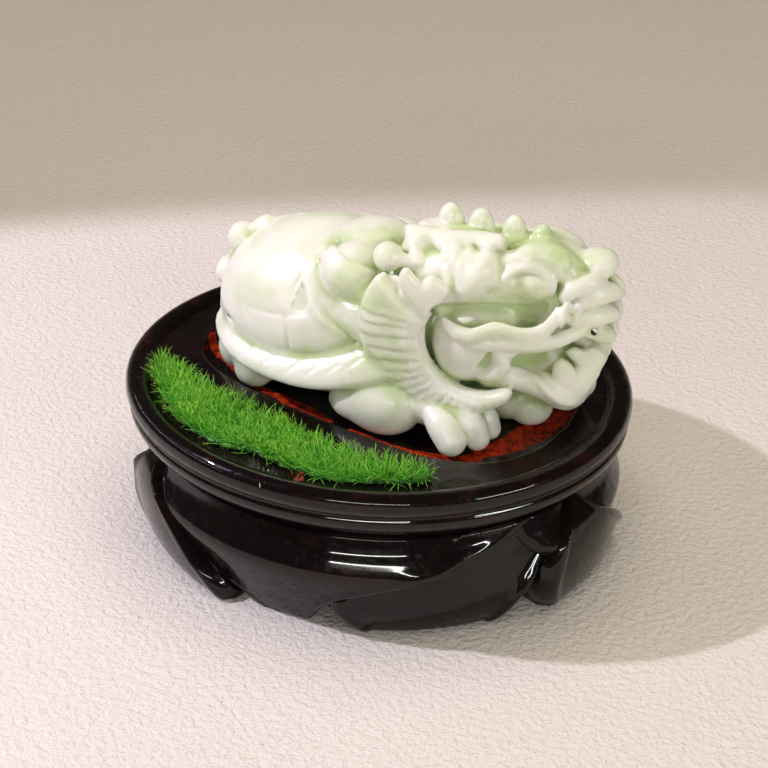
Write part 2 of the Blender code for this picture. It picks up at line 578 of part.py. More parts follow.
def main():
    """Build the three pieces."""
    clear_scene()
    group = collection("jade_dragon_turtle")
    cutters = collection("cutters")
    jade = finish("jade", (0.62, 0.76, 0.58), 0.16, coat=0.6)
    lacquer = finish("lacquered_wood", (0.012, 0.008, 0.008), 0.12, coat=1.0)
    grass = finish("artificial_grass", (0.06, 0.42, 0.03), 0.75)
    build_carving(group, cutters, jade)
    build_stand(group, cutters, lacquer)
    build_grass(group, grass)


main()
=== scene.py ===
"""Jade dragon turtle on its oval lacquered stand with a patch of artificial grass, dressed for a close look.

Everything is in metres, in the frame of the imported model: the origin is on the floor under the middle of
the stand, +X points to the animal's head and +Z is up. The carving is worked in units of about a
millimetre above the floor of the stand's recess, and one scale and one lift set it in place.
"""
import json
import logging
import math
from dataclasses import dataclass
from enum import Enum
from functools import partial
from typing import Callable, Iterator, Sequence

import bmesh
import bpy
import numpy as np
from mathutils import Euler, Matrix, Vector

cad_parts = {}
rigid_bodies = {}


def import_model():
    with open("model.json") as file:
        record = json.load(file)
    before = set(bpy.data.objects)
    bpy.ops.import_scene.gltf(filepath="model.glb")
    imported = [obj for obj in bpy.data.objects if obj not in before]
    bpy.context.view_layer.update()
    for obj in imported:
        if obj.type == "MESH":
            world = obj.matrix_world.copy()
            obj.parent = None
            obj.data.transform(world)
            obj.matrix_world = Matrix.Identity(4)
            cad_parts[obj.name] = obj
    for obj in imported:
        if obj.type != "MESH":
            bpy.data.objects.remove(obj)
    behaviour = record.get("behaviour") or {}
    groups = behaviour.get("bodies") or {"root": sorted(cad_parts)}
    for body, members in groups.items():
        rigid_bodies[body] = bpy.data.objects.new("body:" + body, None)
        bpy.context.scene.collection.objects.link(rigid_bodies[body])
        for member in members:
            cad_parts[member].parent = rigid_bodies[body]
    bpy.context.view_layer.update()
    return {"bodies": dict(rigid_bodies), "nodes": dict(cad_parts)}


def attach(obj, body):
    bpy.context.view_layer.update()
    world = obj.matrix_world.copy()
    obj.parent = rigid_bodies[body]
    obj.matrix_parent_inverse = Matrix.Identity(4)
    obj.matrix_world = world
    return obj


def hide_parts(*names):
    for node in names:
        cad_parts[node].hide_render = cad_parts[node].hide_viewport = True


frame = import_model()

LOG = logging.getLogger("dragon_turtle")
BODY = "root"
MM = 0.001

# distance given to empty space, and the smallest divisors of lengths and of stored distances
FAR_AWAY = 9.0
TINY = 1e-9
SMALL = 1e-6

# directions outward: of the near cheek in the frame of the head, of the flank and of the frill
SLANT = (0.252, -0.826, 0.503)
FLANK = (0.392, -0.770, 0.503)
FRILL = (0.0, -0.82, 0.57)

Triple = tuple[float, float, float]
Colour = Triple
Rows = Sequence[Sequence[float]]


class Fineness(Enum):
    """Grid cell of the sculpted stone, in units of the carving."""

    TRIAL = 0.80
    CLOSE = 0.56


class Lamp(Enum):
    """Kinds of light."""

    PANEL = "AREA"
    BEAM = "SPOT"


class Ends(Enum):
    """How the two ends of a grid of rings are closed."""

    POLES = "a fan to the middle of each end ring"
    FLAT = "one flat face"
    JOINED = "the last ring joined to the first"


class Slot(Enum):
    """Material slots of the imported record."""

    JADE = "jade"
    LACQUER = "lacquered_wood"
    GRASS = "artificial_grass"


def spline(rows: Rows, steps: int) -> np.ndarray:
    """Run a smooth curve through rows of numbers.

    Args:
        rows: The numbers that the curve passes through.
        steps: Steps between neighbours.

    Returns:
        One row of numbers for each step, the last row included.
    """
    rows = np.array(rows, float)
    if len(rows) == 2:
        share = np.linspace(0.0, 1.0, steps + 1)[:, None]
        return rows[0] * (1.0 - share) + rows[1] * share
    padded = np.vstack([rows[0] * 2.0 - rows[1], rows, rows[-1] * 2.0 - rows[-2]])
    t = (np.arange(steps) / steps)[:, None]
    parts = []
    for before, start, end, after in zip(padded, padded[1:], padded[2:], padded[3:]):
        parts.append(0.5 * (2.0 * start + (end - before) * t
                            + (2.0 * before - 5.0 * start + 4.0 * end - after) * t * t
                            + (3.0 * start - before - 3.0 * end + after) * t * t * t))
    return np.vstack(parts + [rows[-1:]])


def merge(first: np.ndarray, second: np.ndarray, blend: float) -> np.ndarray:
    """Smooth minimum of two fields of distances.

    Args:
        first: One field.
        second: The other field.
        blend: Width of the fillet where they meet.

    Returns:
        The joined field.
    """
    near = np.maximum(blend - np.abs(first - second), 0.0)
    return np.minimum(first, second) - near * near * (0.25 / blend)


def along(x: np.ndarray, y: np.ndarray, z: np.ndarray, axis: np.ndarray) -> np.ndarray:
    """Coordinate along an axis."""
    return x * axis[0] + y * axis[1] + z * axis[2]


def outline_distance(a: np.ndarray, b: np.ndarray, loop: np.ndarray) -> np.ndarray:
    """Distance to a closed outline in a plane, negative inside it.

    Args:
        a: First coordinates.
        b: Second coordinates.
        loop: Corners of the outline.

    Returns:
        One distance for each pair of coordinates.
    """
    square = np.full(a.shape, FAR_AWAY ** 2, np.float32)
    inside = np.zeros(a.shape, bool)
    for start, end in zip(loop, np.roll(loop, -1, axis=0)):
        run = end - start
        x, y = a - start[0], b - start[1]
        share = np.clip((x * run[0] + y * run[1]) / (run @ run + TINY), 0.0, 1.0)
        square = np.minimum(square, (x - share * run[0]) ** 2 + (y - share * run[1]) ** 2)
        rise = run[1] if abs(run[1]) > TINY else TINY
        inside ^= ((start[1] <= b) != (end[1] <= b)) & (x < run[0] * y / rise)
    return np.where(inside, -1.0, 1.0) * np.sqrt(square)


def new_object(name: str, mesh: bpy.types.Mesh) -> bpy.types.Object:
    """Link a mesh into the scene as an object at the origin.

    Args:
        name: Name of the object.
        mesh: Its mesh.

    Returns:
        The new object.
    """
    made = bpy.data.objects.new(name, mesh)
    bpy.context.scene.collection.objects.link(made)
    return made


def finished(name: str, made: bmesh.types.BMesh, smooth: bool = True) -> bpy.types.Mesh:
    """Turn a working mesh into a lasting one.

    Args:
        name: Name of the mesh.
        made: The working mesh, which is freed.
        smooth: True to shade it smooth.

    Returns:
        The mesh.
    """
    mesh = bpy.data.meshes.new(name)
    made.to_mesh(mesh)
    made.free()
    if smooth:
        mesh.shade_smooth()
    return mesh


def closed_grid(name: str, rings: Sequence[np.ndarray], ends: Ends = Ends.FLAT) -> bpy.types.Mesh:
    """Cover equal rings of points with quads and close both ends.

    Args:
        name: Name of the mesh.
        rings: Rings of points, each an array of shape (count, 3).
        ends: How the first and the last ring are closed.

    Returns:
        The closed mesh, its faces outward.
    """
    made = bmesh.new()
    loops = [[made.verts.new(point) for point in ring] for ring in rings]
    count = len(loops[0])
    for low, high in zip(loops, loops[1:] + (loops[:1] if ends is Ends.JOINED else [])):
        for index in range(count):
            after = (index + 1) % count
            made.faces.new((low[index], low[after], high[after], high[index]))
    for ring, loop in ((rings[0], loops[0][::-1]), (rings[-1], loops[-1])):
        if ends is Ends.POLES:
            pole = made.verts.new(np.mean(ring, axis=0))
            for index in range(count):
                made.faces.new((loop[index], loop[(index + 1) % count], pole))
        elif ends is Ends.FLAT:
            made.faces.new(loop)
    bmesh.ops.recalc_face_normals(made, faces=made.faces)
    return finished(name, made)


def places(mesh: bpy.types.Mesh) -> np.ndarray:
    """Places of a mesh's vertices, one row each."""
    return np.array([tuple(vertex.co) for vertex in mesh.vertices])


def point_attribute(mesh: bpy.types.Mesh, name: str, values: np.ndarray) -> None:
    """Store one number for each vertex, for a material to read.

    Args:
        mesh: The mesh.
        name: Name of the attribute.
        values: One number for each vertex.
    """
    layer = mesh.attributes.new(name, "FLOAT", "POINT")
    layer.data.foreach_set("value", np.ascontiguousarray(values, np.float32))


# materials


class Value:
    """A shader value that adds Math nodes as it is used in an expression."""

    def __init__(self, board: "Board", link: bpy.types.NodeSocket) -> None:
        """Keep the board and the output socket."""
        self.board = board
        self.link = link

    def _math(self, operation: str, first: "Number", second: "Number") -> "Value":
        """Add a Math node on two values."""
        return self.board.node("ShaderNodeMath", {"operation": operation}, {0: first, 1: second})

    def __add__(self, other: "Number") -> "Value":
        """Sum."""
        return self._math("ADD", self, other)

    def __sub__(self, other: "Number") -> "Value":
        """Difference."""
        return self._math("SUBTRACT", self, other)

    def __rsub__(self, other: "Number") -> "Value":
        """Difference from a number."""
        return self._math("SUBTRACT", other, self)

    def __mul__(self, other: "Number") -> "Value":
        """Product."""
        return self._math("MULTIPLY", self, other)

    def above(self, low: float, high: float) -> "Value":
        """Smooth step from 0 at low to 1 at high.

        Args:
            low: Value where the step begins.
            high: Value where it ends.

        Returns:
            The stepped value.
        """
        return self.board.node("ShaderNodeMapRange", {"interpolation_type": "SMOOTHSTEP"},
                               {"Value": self, "From Min": low, "From Max": high})


Number = Value | float


def feed(tree: bpy.types.NodeTree, socket: bpy.types.NodeSocket, value: object) -> None:
    """Link an output to an input socket, or set the socket to a plain value.

    Args:
        tree: The node tree.
        socket: The input socket.
        value: A shader value, an output socket, or what the input socket holds.
    """
    value = value.link if isinstance(value, Value) else value
    if isinstance(value, bpy.types.NodeSocket):
        tree.links.new(value, socket)
    else:
        socket.default_value = value


def add_node(tree: bpy.types.NodeTree, kind: str, settings: dict | None = None,
             values: dict | None = None) -> bpy.types.Node:
    """Add a node to a tree.

    Args:
        tree: The node tree.
        kind: Type of the node.
        settings: Properties, set before the sockets.
        values: Plain values or links of its input sockets.

    Returns:
        The node.
    """
    made = tree.nodes.new(kind)
    for key, value in (settings or {}).items():
        setattr(made, key, value)
    for key, value in (values or {}).items():
        feed(tree, made.inputs[key], value)
    return made


class Board:
    """The node tree of one material."""

    FIRST_COLOUR, SECOND_COLOUR, MIXED_COLOUR = 6, 7, 2

    def __init__(self, name: str) -> None:
        """Make the material with its Principled shader.

        Args:
            name: Name of the material.
        """
        self.material = bpy.data.materials.new(name)
        self.material.use_nodes = True
        self.tree = self.material.node_tree
        self.shader = self.tree.nodes["Principled BSDF"]
        self.place = self.node("ShaderNodeTexCoord", output="Object")

    def node(self, kind: str, settings: dict | None = None, values: dict | None = None,
             output: int | str = 0) -> Value:
        """Add a node.

        Args:
            kind: Type of the node.
            settings: Properties, set before the sockets.
            values: Plain values or links of its input sockets.
            output: The output that is wanted.

        Returns:
            That output.
        """
        return Value(self, add_node(self.tree, kind, settings, values).outputs[output])

    def noise(self, size: float, detail: float = 3.0, roughness: float = 0.5, warp: float = 0.0,
              stretch: Triple = (1.0, 1.0, 1.0)) -> Value:
        """Cloudy pattern on the object's coordinates.

        Args:
            size: Size of one cloud in metres.
            detail: Octaves.
            roughness: Share of the finer octaves.
            warp: Distortion.
            stretch: Scale along X, Y and Z.

        Returns:
            The pattern, about 0.5 in the middle.
        """
        where = self.place
        if stretch != (1.0, 1.0, 1.0):
            where = self.node("ShaderNodeMapping", {}, {"Vector": where, "Scale": stretch})
        return self.node("ShaderNodeTexNoise", {}, {"Vector": where, "Scale": 1.0 / size, "Detail": detail,
                                                    "Roughness": roughness, "Distortion": warp})

    def attribute(self, name: str) -> Value:
        """Number stored on the mesh."""
        return self.node("ShaderNodeAttribute", {"attribute_name": name}, output="Fac")

    def mix(self, share: Number, first: Value | Colour, second: Value | Colour) -> Value:
        """Mix two colours.

        Args:
            share: 0 for the first, 1 for the second.
            first: First colour.
            second: Second colour.

        Returns:
            The mixed colour.
        """
        pair = [colour if isinstance(colour, Value) else (*colour, 1.0) for colour in (first, second)]
        return self.node("ShaderNodeMix", {"data_type": "RGBA"},
                         {0: share, self.FIRST_COLOUR: pair[0], self.SECOND_COLOUR: pair[1]},
                         self.MIXED_COLOUR)

    def bump(self, height: Value, depth: float, below: Value | None = None) -> Value:
        """Turn a height into a normal.

        Args:
            height: Pattern from 0 to 1.
            depth: Depth of the relief in metres.
            below: Normal of a coarser relief under it.

        Returns:
            The normal.
        """
        values = {"Height": height, "Distance": depth, "Strength": 1.0}
        if below is not None:
            values["Normal"] = below
        return self.node("ShaderNodeBump", {}, values)

    def dress(self, **values: Number | Triple) -> bpy.types.Material:
        """Set the shader's sockets by name, with _ for a space.

        Args:
            **values: Numbers, triples or links.

        Returns:
            The material.
        """
        for key, value in values.items():
            feed(self.tree, self.shader.inputs[key.replace("_", " ")], value)
        return self.material


@dataclass(frozen=True)
class Jade:
    """Pale milky jade with a waxy polish: white on the crowns, with painted shade that turns the hollows
    green and the narrowest pits dark green.
    """

    milk: Colour = (0.84, 0.82, 0.735)
    pale_green: Colour = (0.57, 0.66, 0.36)
    # painted shade: the dark green laid into the narrowest pits
    pit_shade_green: Colour = (0.30, 0.42, 0.12)
    vein_white: Colour = (0.90, 0.90, 0.84)
    glow: float = 0.50
    glow_depth: float = 0.0032
    coat: float = 0.12
    cloud_size: float = 0.016
    vein_size: float = 0.009
    fleck_size: float = 0.0042
    ripple_size: float = 0.0030
    ripple_depth: float = 0.00016
    grain_size: float = 0.00055
    grain_depth: float = 0.000012

    def make(self) -> bpy.types.Material:
        """Build the material.

        Returns:
            The material.
        """
        board = Board("jade")
        # painted shade: crowded hollows are tinted greener and the narrowest pits dark green
        hollow = board.attribute("hollow")
        pit = board.attribute("pit")
        cloud = board.noise(self.cloud_size, 4.0, 0.55, 0.6).above(0.36, 0.66)
        fleck = board.noise(self.fleck_size, 3.0, 0.6, 1.2)
        green = cloud * 0.50 + hollow.above(0.00, 0.20) * 0.95 + fleck * 0.30 - 0.18
        # zones of green: green patches of the stone, and painted shade on the far paw under the chin
        green = green + board.attribute("tint") * (cloud * 0.5 + 0.55)
        skin = board.mix(green.above(0.0, 1.1), self.milk, self.pale_green)
        skin = board.mix(pit.above(0.14, 0.38) * 0.85, skin, self.pit_shade_green)
        vein = board.noise(self.vein_size, 5.0, 0.62, 2.4).above(0.60, 0.68)
        skin = board.mix(vein * 0.16, skin, self.vein_white)
        ripple = board.bump(board.noise(self.ripple_size, 2.0), self.ripple_depth)
        grain = board.bump(board.noise(self.grain_size, 2.0, 0.6), self.grain_depth, ripple)
        rough = board.noise(0.005, 2.0) * 0.18 + 0.26 + pit.above(0.2, 0.5) * 0.15
        return board.dress(Base_Color=skin, Roughness=rough, Normal=grain, IOR=1.6, Coat_Weight=self.coat,
                           Coat_Roughness=0.10, Subsurface_Weight=self.glow,
                           Subsurface_Radius=(1.0, 1.15, 0.75), Subsurface_Scale=self.glow_depth)


@dataclass(frozen=True)
class Lacquer:
    """Thick black lacquer with a trace of maroon, red paint showing in the recess."""

    black: Colour = (0.0045, 0.0026, 0.0026)
    maroon: Colour = (0.020, 0.0050, 0.0045)
    red: Colour = (0.50, 0.040, 0.008)
    dark_red: Colour = (0.15, 0.012, 0.004)
    coat: float = 0.6
    peel_size: float = 0.0021
    peel_depth: float = 0.00024
    sag_size: float = 0.0075
    sag_depth: float = 0.00055
    speck_size: float = 0.00050
    speck_depth: float = 0.000022
    painted: bool = False

    def make(self) -> bpy.types.Material:
        """Build the material.

        Returns:
            The material.
        """
        board = Board("painted_lacquer" if self.painted else "black_lacquer")
        tint = board.noise(0.011, 4.0, 0.6, 1.5, (1.0, 1.0, 2.4)).above(0.50, 0.72)
        skin = board.mix(tint * 0.8, self.black, self.maroon)
        peel = board.bump(board.noise(self.peel_size, 2.0, 0.45), self.peel_depth)
        sags = board.noise(self.sag_size, 2.0, 0.5, 0.0, (1.0, 1.0, 0.5))
        sag = board.bump(sags, self.sag_depth, peel)
        fine = board.bump(board.noise(self.speck_size, 2.0, 0.6), self.speck_depth, sag)
        rough = board.noise(0.006, 3.0, 0.6) * 0.20 + 0.16
        coat: Number = self.coat
        if self.painted:
            paint = board.attribute("paint") + board.noise(0.0026, 4.0, 0.65, 1.0) - 0.50
            shown = paint.above(0.36, 0.46)
            shade = board.noise(0.0022, 4.0, 0.7).above(0.38, 0.62)
            skin = board.mix(shown, skin, board.mix(shade, self.dark_red, self.red))
            rough = rough + shown * 0.28
            coat = self.coat - shown * 0.5
        return board.dress(Base_Color=skin, Roughness=rough, Normal=fine, IOR=1.5, Coat_Weight=coat,
                           Coat_Roughness=0.05, Coat_IOR=1.5, Specular_IOR_Level=0.05)


@dataclass(frozen=True)
class GrassPlastic:
    """Vivid green fibres, pale at the tip, with painted shade that darkens them towards the root."""

    # painted shade at the foot of the fibres
    root: Colour = (0.016, 0.085, 0.006)
    middle: Colour = (0.090, 0.46, 0.008)
    tip: Colour = (0.56, 0.88, 0.10)
    patch_green: Colour = (0.08, 0.50, 0.03)

    def make(self) -> bpy.types.Material:
        """Build the material.

        Returns:
            The material.
        """
        board = Board("artificial_grass")
        along = board.attribute("tip")
        patch = board.noise(0.006, 2.0).above(0.35, 0.65)
        own = board.noise(0.0011, 1.0)
        # painted shade: the fibres darken towards the root, where they crowd together
        skin = board.mix(along.above(0.0, 0.5), self.root, self.middle)
        skin = board.mix((along + own * 0.5 - 0.25).above(0.55, 1.1), skin, self.tip)
        skin = board.mix(patch * 0.30, skin, self.patch_green)
        fuzz = board.bump(board.noise(0.0004, 1.0), 0.00003)
        return board.dress(Base_Color=skin, Roughness=0.42, Normal=fuzz, Sheen_Weight=0.05)


@dataclass(frozen=True)
class Crumb:
    """Dull colour with a coarse broken surface, for loose dirt and stray fibres."""

    name: str = "red_crumb"
    colour: Colour = (0.16, 0.022, 0.008)
    light: Colour = (0.30, 0.06, 0.02)

    def make(self) -> bpy.types.Material:
        """Build the material.

        Returns:
            The material.
        """
        board = Board(self.name)
        rough = board.noise(0.0005, 3.0)
        skin = board.mix(rough.above(0.4, 0.7), self.colour, self.light)
        return board.dress(Base_Color=skin, Roughness=0.75, Normal=board.bump(rough, 0.0001))


@dataclass(frozen=True)
class Paper:
    """Pale warm floor covering with a faint crinkle."""

    colour: Colour = (0.80, 0.725, 0.695)
    shade: Colour = (0.765, 0.69, 0.655)
    crinkle_size: float = 0.0017
    crinkle_depth: float = 0.0009

    def make(self) -> bpy.types.Material:
        """Build the material.

        Returns:
            The material.
        """
        board = Board("floor_paper")
        crinkle = board.bump(board.noise(self.crinkle_size, 3.0, 0.6, 0.2), self.crinkle_depth)
        skin = board.mix(board.noise(0.05, 3.0), self.colour, self.shade)
        return board.dress(Base_Color=skin, Roughness=0.6, Normal=crinkle)


# carved stone


class Stone:
    """A block of distances to a carved surface, shaped by adding and cutting forms.

    Every form is worked out only in its own box, with some room round it for its fillet.
    """

    FORM_ROOM = 1.6
    ROPE_ROOM = 1.2
    PATCH_ROOM = 2.0
    PATCH_DEPTH = 2.5
    SEARCH = 9.0
    SEARCH_STEP = 0.2
    LOWEST_SLOPE = 0.2
    LONGEST_MOVE = 0.45

    def __init__(self, low: Triple, high: Triple, cell: float) -> None:
        """Make an empty block.

        Args:
            low: Lowest corner.
            high: Highest corner.
            cell: Spacing of the grid.
        """
        self.low = np.array(low)
        self.cell = cell
        self.size = tuple(int(math.ceil((b - a) / cell)) + 1 for a, b in zip(low, high))
        self.distance = np.full(self.size, FAR_AWAY, np.float32)
        self.near = Matrix.Identity(4)
        self.far = Matrix.Scale(-1.0, 4, Vector((0.0, 1.0, 0.0)))

    def use(self, near: Matrix, far: Matrix) -> None:
        """Set the frames of the near side and of the far side."""
        self.near = near
        self.far = far

    def _range(self, side: Matrix, low: np.ndarray, high: np.ndarray) -> tuple[np.ndarray, np.ndarray]:
        """First and last grid index of a box of a frame, clipped to the block."""
        turn = np.array(side)
        corners = np.array([[x, y, z] for x in (low[0], high[0]) for y in (low[1], high[1])
                            for z in (low[2], high[2])]) @ turn[:3, :3].T + turn[:3, 3]
        begin = np.floor((corners.min(axis=0) - self.low) / self.cell).astype(int)
        end = np.ceil((corners.max(axis=0) - self.low) / self.cell).astype(int) + 1
        return np.maximum(begin, 0), np.minimum(end, self.size)

    def _local(self, side: Matrix, begin: np.ndarray, end: np.ndarray) -> list[np.ndarray]:
        """Coordinates of a range of the grid in a frame."""
        back = np.array(side.inverted())
        x, y, z = (self.low[axis] + self.cell * np.arange(begin[axis], end[axis]) for axis in range(3))
        return [(row[0] * x[:, None, None] + row[1] * y[None, :, None] + row[2] * z[None, None, :]
                 + row[3]).astype(np.float32) for row in back[:3]]

    def _boxes(self, both: bool, low: np.ndarray,
               high: np.ndarray) -> Iterator[tuple[Matrix, np.ndarray, np.ndarray, list[np.ndarray]]]:
        """Find the ranges of the block that a box covers.

        Args:
            both: True for both sides, False for the near one.
            low: Lowest corner of the box in the frame.
            high: Highest corner.

        Yields:
            For each side its frame, the first and last grid index, and the coordinates in the frame.
        """
        for side in (self.near, self.far)[:1 + both]:
            begin, end = self._range(side, low, high)
            if np.all(end > begin):
                yield side, begin, end, self._local(side, begin, end)

    @staticmethod
    def _window(begin: np.ndarray, end: np.ndarray) -> tuple[slice, ...]:
        """Slices of a range of the block."""
        return tuple(slice(a, b) for a, b in zip(begin, end))

    def _apply(self, begin: np.ndarray, end: np.ndarray, form: np.ndarray, blend: float, cut: bool) -> None:
        """Add a form to a range of the block, or cut it away."""
        window = self._window(begin, end)
        kept = self.distance[window]
        self.distance[window] = -merge(-kept, form, blend) if cut else merge(kept, form, blend)

    def shape(self, low: Sequence[float], high: Sequence[float],
              measure: Callable[[np.ndarray, np.ndarray, np.ndarray], np.ndarray],
              both: bool = False, blend: float = 1.0, cut: bool = False) -> None:
        """Add or cut a form that a function measures.

        Args:
            low: Lowest corner of its box in the frame.
            high: Highest corner.
            measure: Gives distances from arrays of x, y and z.
            both: True for both sides.
            blend: Width of the fillet.
            cut: True to cut it away.
        """
        margin = self.FORM_ROOM + blend
        for _, begin, end, local in self._boxes(both, np.array(low) - margin, np.array(high) + margin):
            self._apply(begin, end, measure(*local), blend, cut)

    def egg(self, centre: Sequence[float], radii: Sequence[float], turn: Sequence[float] = (0.0, 0.0, 0.0),
            both: bool = False, blend: float = 1.6, cut: bool = False) -> None:
        """Add or cut an ellipsoid.

        Args:
            centre: Its middle.
            radii: Its half axes.
            turn: Degrees about X, Y and Z.
            both: True for both sides.
            blend: Width of the fillet.
            cut: True to cut it away.
        """
        spin = np.array(Euler([math.radians(angle) for angle in turn]).to_matrix(), np.float32)
        reach = np.sqrt((spin ** 2) @ (np.array(radii) ** 2))

        def measure(x: np.ndarray, y: np.ndarray, z: np.ndarray) -> np.ndarray:
            """Distance to the ellipsoid."""
            x, y, z = x - centre[0], y - centre[1], z - centre[2]
            parts = [along(x, y, z, spin[:, axis]) / radii[axis] for axis in range(3)]
            first = np.sqrt(sum(part * part for part in parts)) + SMALL
            second = np.sqrt(sum((part / radius) ** 2 for part, radius in zip(parts, radii))) + SMALL
            return first * (first - 1.0) / second

        self.shape(np.array(centre) - reach, np.array(centre) + reach, measure, both, blend, cut)

    def rope(self, rows: Rows, flat: float = 1.0, out: Sequence[float] = (0.0, -1.0, 0.0),
             both: bool = False, blend: float = 0.9, cut: bool = False, steps: int = 4) -> None:
        """Add or cut a rounded band that follows a curve.

        Args:
            rows: Rows of x, y, z and half width.
            flat: Thickness along out as a share of the half width.
            out: Direction in which the band is flattened.
            both: True for both sides.
            blend: Width of the fillet.
            cut: True to cut it away.
            steps: Steps between rows.
        """
        path = spline(rows, steps)
        margin = path[:, 3].max() + self.ROPE_ROOM + blend
        lowest, highest = path[:, :3].min(axis=0) - margin, path[:, :3].max(axis=0) + margin
        for side, begin, end, local in self._boxes(both, lowest, highest):
            form = np.full(local[0].shape, FAR_AWAY, np.float32)
            for first, last in zip(path, path[1:]):
                pair = np.array((first, last))
                low, high = self._range(side, pair[:, :3].min(axis=0) - margin,
                                        pair[:, :3].max(axis=0) + margin)
                window = self._window(low - begin, np.minimum(high, end) - begin)
                x, y, z = (part[window] for part in local)
                if not x.size:
                    continue
                run = last[:3] - first[:3]
                length = float(run @ run) + TINY
                x, y, z = x - first[0], y - first[1], z - first[2]
                share = np.clip(along(x, y, z, run) / length, 0.0, 1.0)
                x, y, z = x - share * run[0], y - share * run[1], z - share * run[2]
                radius = first[3] + share * (last[3] - first[3])
                square = x * x + y * y + z * z
                if flat == 1.0:
                    piece = np.sqrt(square) - radius
                else:
                    thick = np.array(out) - run * (np.array(out) @ run) / length
                    thick /= np.linalg.norm(thick)
                    high_part = along(x, y, z, thick) ** 2
                    level = np.sqrt(square + high_part * (1.0 / flat ** 2 - 1.0)) + SMALL
                    steep = np.sqrt(square + high_part * (1.0 / flat ** 4 - 1.0)) + SMALL
                    piece = (level - radius) * level / steep
                form[window] = np.minimum(form[window], piece)
            self._apply(begin, end, form, blend, cut)

    def depth(self, points: np.ndarray) -> np.ndarray:
        """Distances at points of the block, between grid points by trilinear mixing.

        Args:
            points: Array of shape (count, 3).

        Returns:
            One distance for each point.
        """
        place = (points - self.low) / self.cell
        base = np.clip(np.floor(place).astype(int), 0, np.array(self.size) - 2)
        part = np.clip(place - base, 0.0, 1.0)
        total = np.zeros(len(points))
        for corner in range(8):
            step = np.array((corner & 1, corner >> 1 & 1, corner >> 2 & 1))
            weight = np.prod(np.where(step, part, 1.0 - part), axis=1)
            total += weight * self.distance[tuple((base + step).T)]
        return total

    def _laid(self, rows: Rows, side: Matrix, out: Sequence[float], sink: float) -> list[list[float]]:
        """Drop the points of a line onto the surface.

        Args:
            rows: Rows of x, y, z and half width in the frame, near the surface.
            side: The frame.
            out: Direction outward.
            sink: How far below the surface the line lies.

        Returns:
            Rows of x, y, z and half width in the frame.
        """
        turn = np.array(side)
        made = []
        steps = np.arange(self.SEARCH, -self.SEARCH, -self.SEARCH_STEP)
        away = np.array(out) / np.linalg.norm(out)
        for row in rows:
            point = np.array(row[:3])
            line = point + steps[:, None] * away
            depths = self.depth(line @ turn[:3, :3].T + turn[:3, 3])
            inside = np.nonzero(depths < 0.0)[0]
            if len(inside) and inside[0] > 0:
                hit = inside[0]
                share = depths[hit - 1] / (depths[hit - 1] - depths[hit])
                point = line[hit - 1] + (line[hit] - line[hit - 1]) * share
            made.append([*(point - away * sink), *row[3:]])
        return made

    def line(self, rows: Rows, out: Sequence[float] = SLANT, blend: float = 0.35, cut: bool = True,
             sink: float = 0.0, flat: float = 1.0) -> None:
        """Cut or raise a line that lies on the surface, on both sides.

        Args:
            rows: Rows of x, y, z and half width, near the surface.
            out: Direction outward.
            blend: Width of the fillet.
            cut: True to cut it, False to raise it.
            sink: How far below the surface the line's middle lies.
            flat: Thickness as a share of the half width.
        """
        keep = self.near, self.far
        for side in keep:
            self.use(side, side)
            laid = self._laid(spline(rows, 3), side, out, sink)
            self.rope(laid, flat=flat, out=out, blend=blend, cut=cut, steps=1)
        self.use(*keep)

    def _drawn(self, outline: Rows, out: Sequence[float]) -> tuple[np.ndarray, np.ndarray, list[np.ndarray]]:
        """Smooth a closed outline and flatten it onto the plane that faces outward.

        Args:
            outline: Its corners.
            out: Direction in which it is seen.

        Returns:
            The smooth outline, the flat one, and the axes across, up and outward.
        """
        away = np.array(out) / np.linalg.norm(out)
        across = np.cross((0.0, 0.0, 1.0), away)
        across /= np.linalg.norm(across)
        up = np.cross(away, across)
        rows = np.array(outline, float)
        loop = spline(np.vstack([rows[-1:], rows, rows[:2]]), 3)[3:-4]
        return loop, np.stack([loop @ across, loop @ up], axis=1), [across, up, away]

    def patch(self, outline: Rows, lift: float, round_over: float, out: Sequence[float] = SLANT,
              edge: float = 0.5, blend: float = 0.3) -> None:
        """Raise or lower the part of the surface inside an outline, on both sides.

        Args:
            outline: Corners of a closed outline on the surface.
            lift: Height of the raised part, negative to lower it.
            round_over: Width over which the height is reached.
            out: Direction in which the outline is seen.
            edge: Rounding of its edge.
            blend: Fillet at its foot.
        """
        loop, drawn, axes = self._drawn(outline, out)
        heights = loop @ axes[2]
        middle = (heights.max() + heights.min()) / 2.0
        spread = (heights.max() - heights.min()) / 2.0 + self.PATCH_DEPTH
        margin = self.PATCH_ROOM + abs(lift)
        for _, begin, end, local in self._boxes(True, loop.min(axis=0) - margin, loop.max(axis=0) + margin):
            level, rise, near = (along(*local, axis) for axis in axes)
            form = np.maximum(outline_distance(level, rise, drawn), np.abs(near - middle) - spread)
            kept = self.distance[self._window(begin, end)]
            inward = np.clip(-form / round_over, 0.0, 1.0)
            height = abs(lift) * np.sqrt(1.0 - (1.0 - inward) ** 2)
            skin = height - kept if lift > 0.0 else height + kept
            self._apply(begin, end, -merge(skin, -form, edge), blend, lift < 0.0)

    def plate(self, outline: Rows, thick: float, round_over: float, both: bool = True,
              blend: float = 0.5) -> None:
        """Add a plump plate that faces the cheek's direction outward.

        Args:
            outline: Corners of its closed outline, about in one plane.
            thick: Half of its thickness.
            round_over: Width over which the thickness is reached.
            both: True for both sides.
            blend: Width of the fillet.
        """
        loop, drawn, axes = self._drawn(outline, SLANT)
        tilt = np.linalg.lstsq(np.column_stack([drawn, np.ones(len(drawn))]), loop @ axes[2], rcond=None)[0]

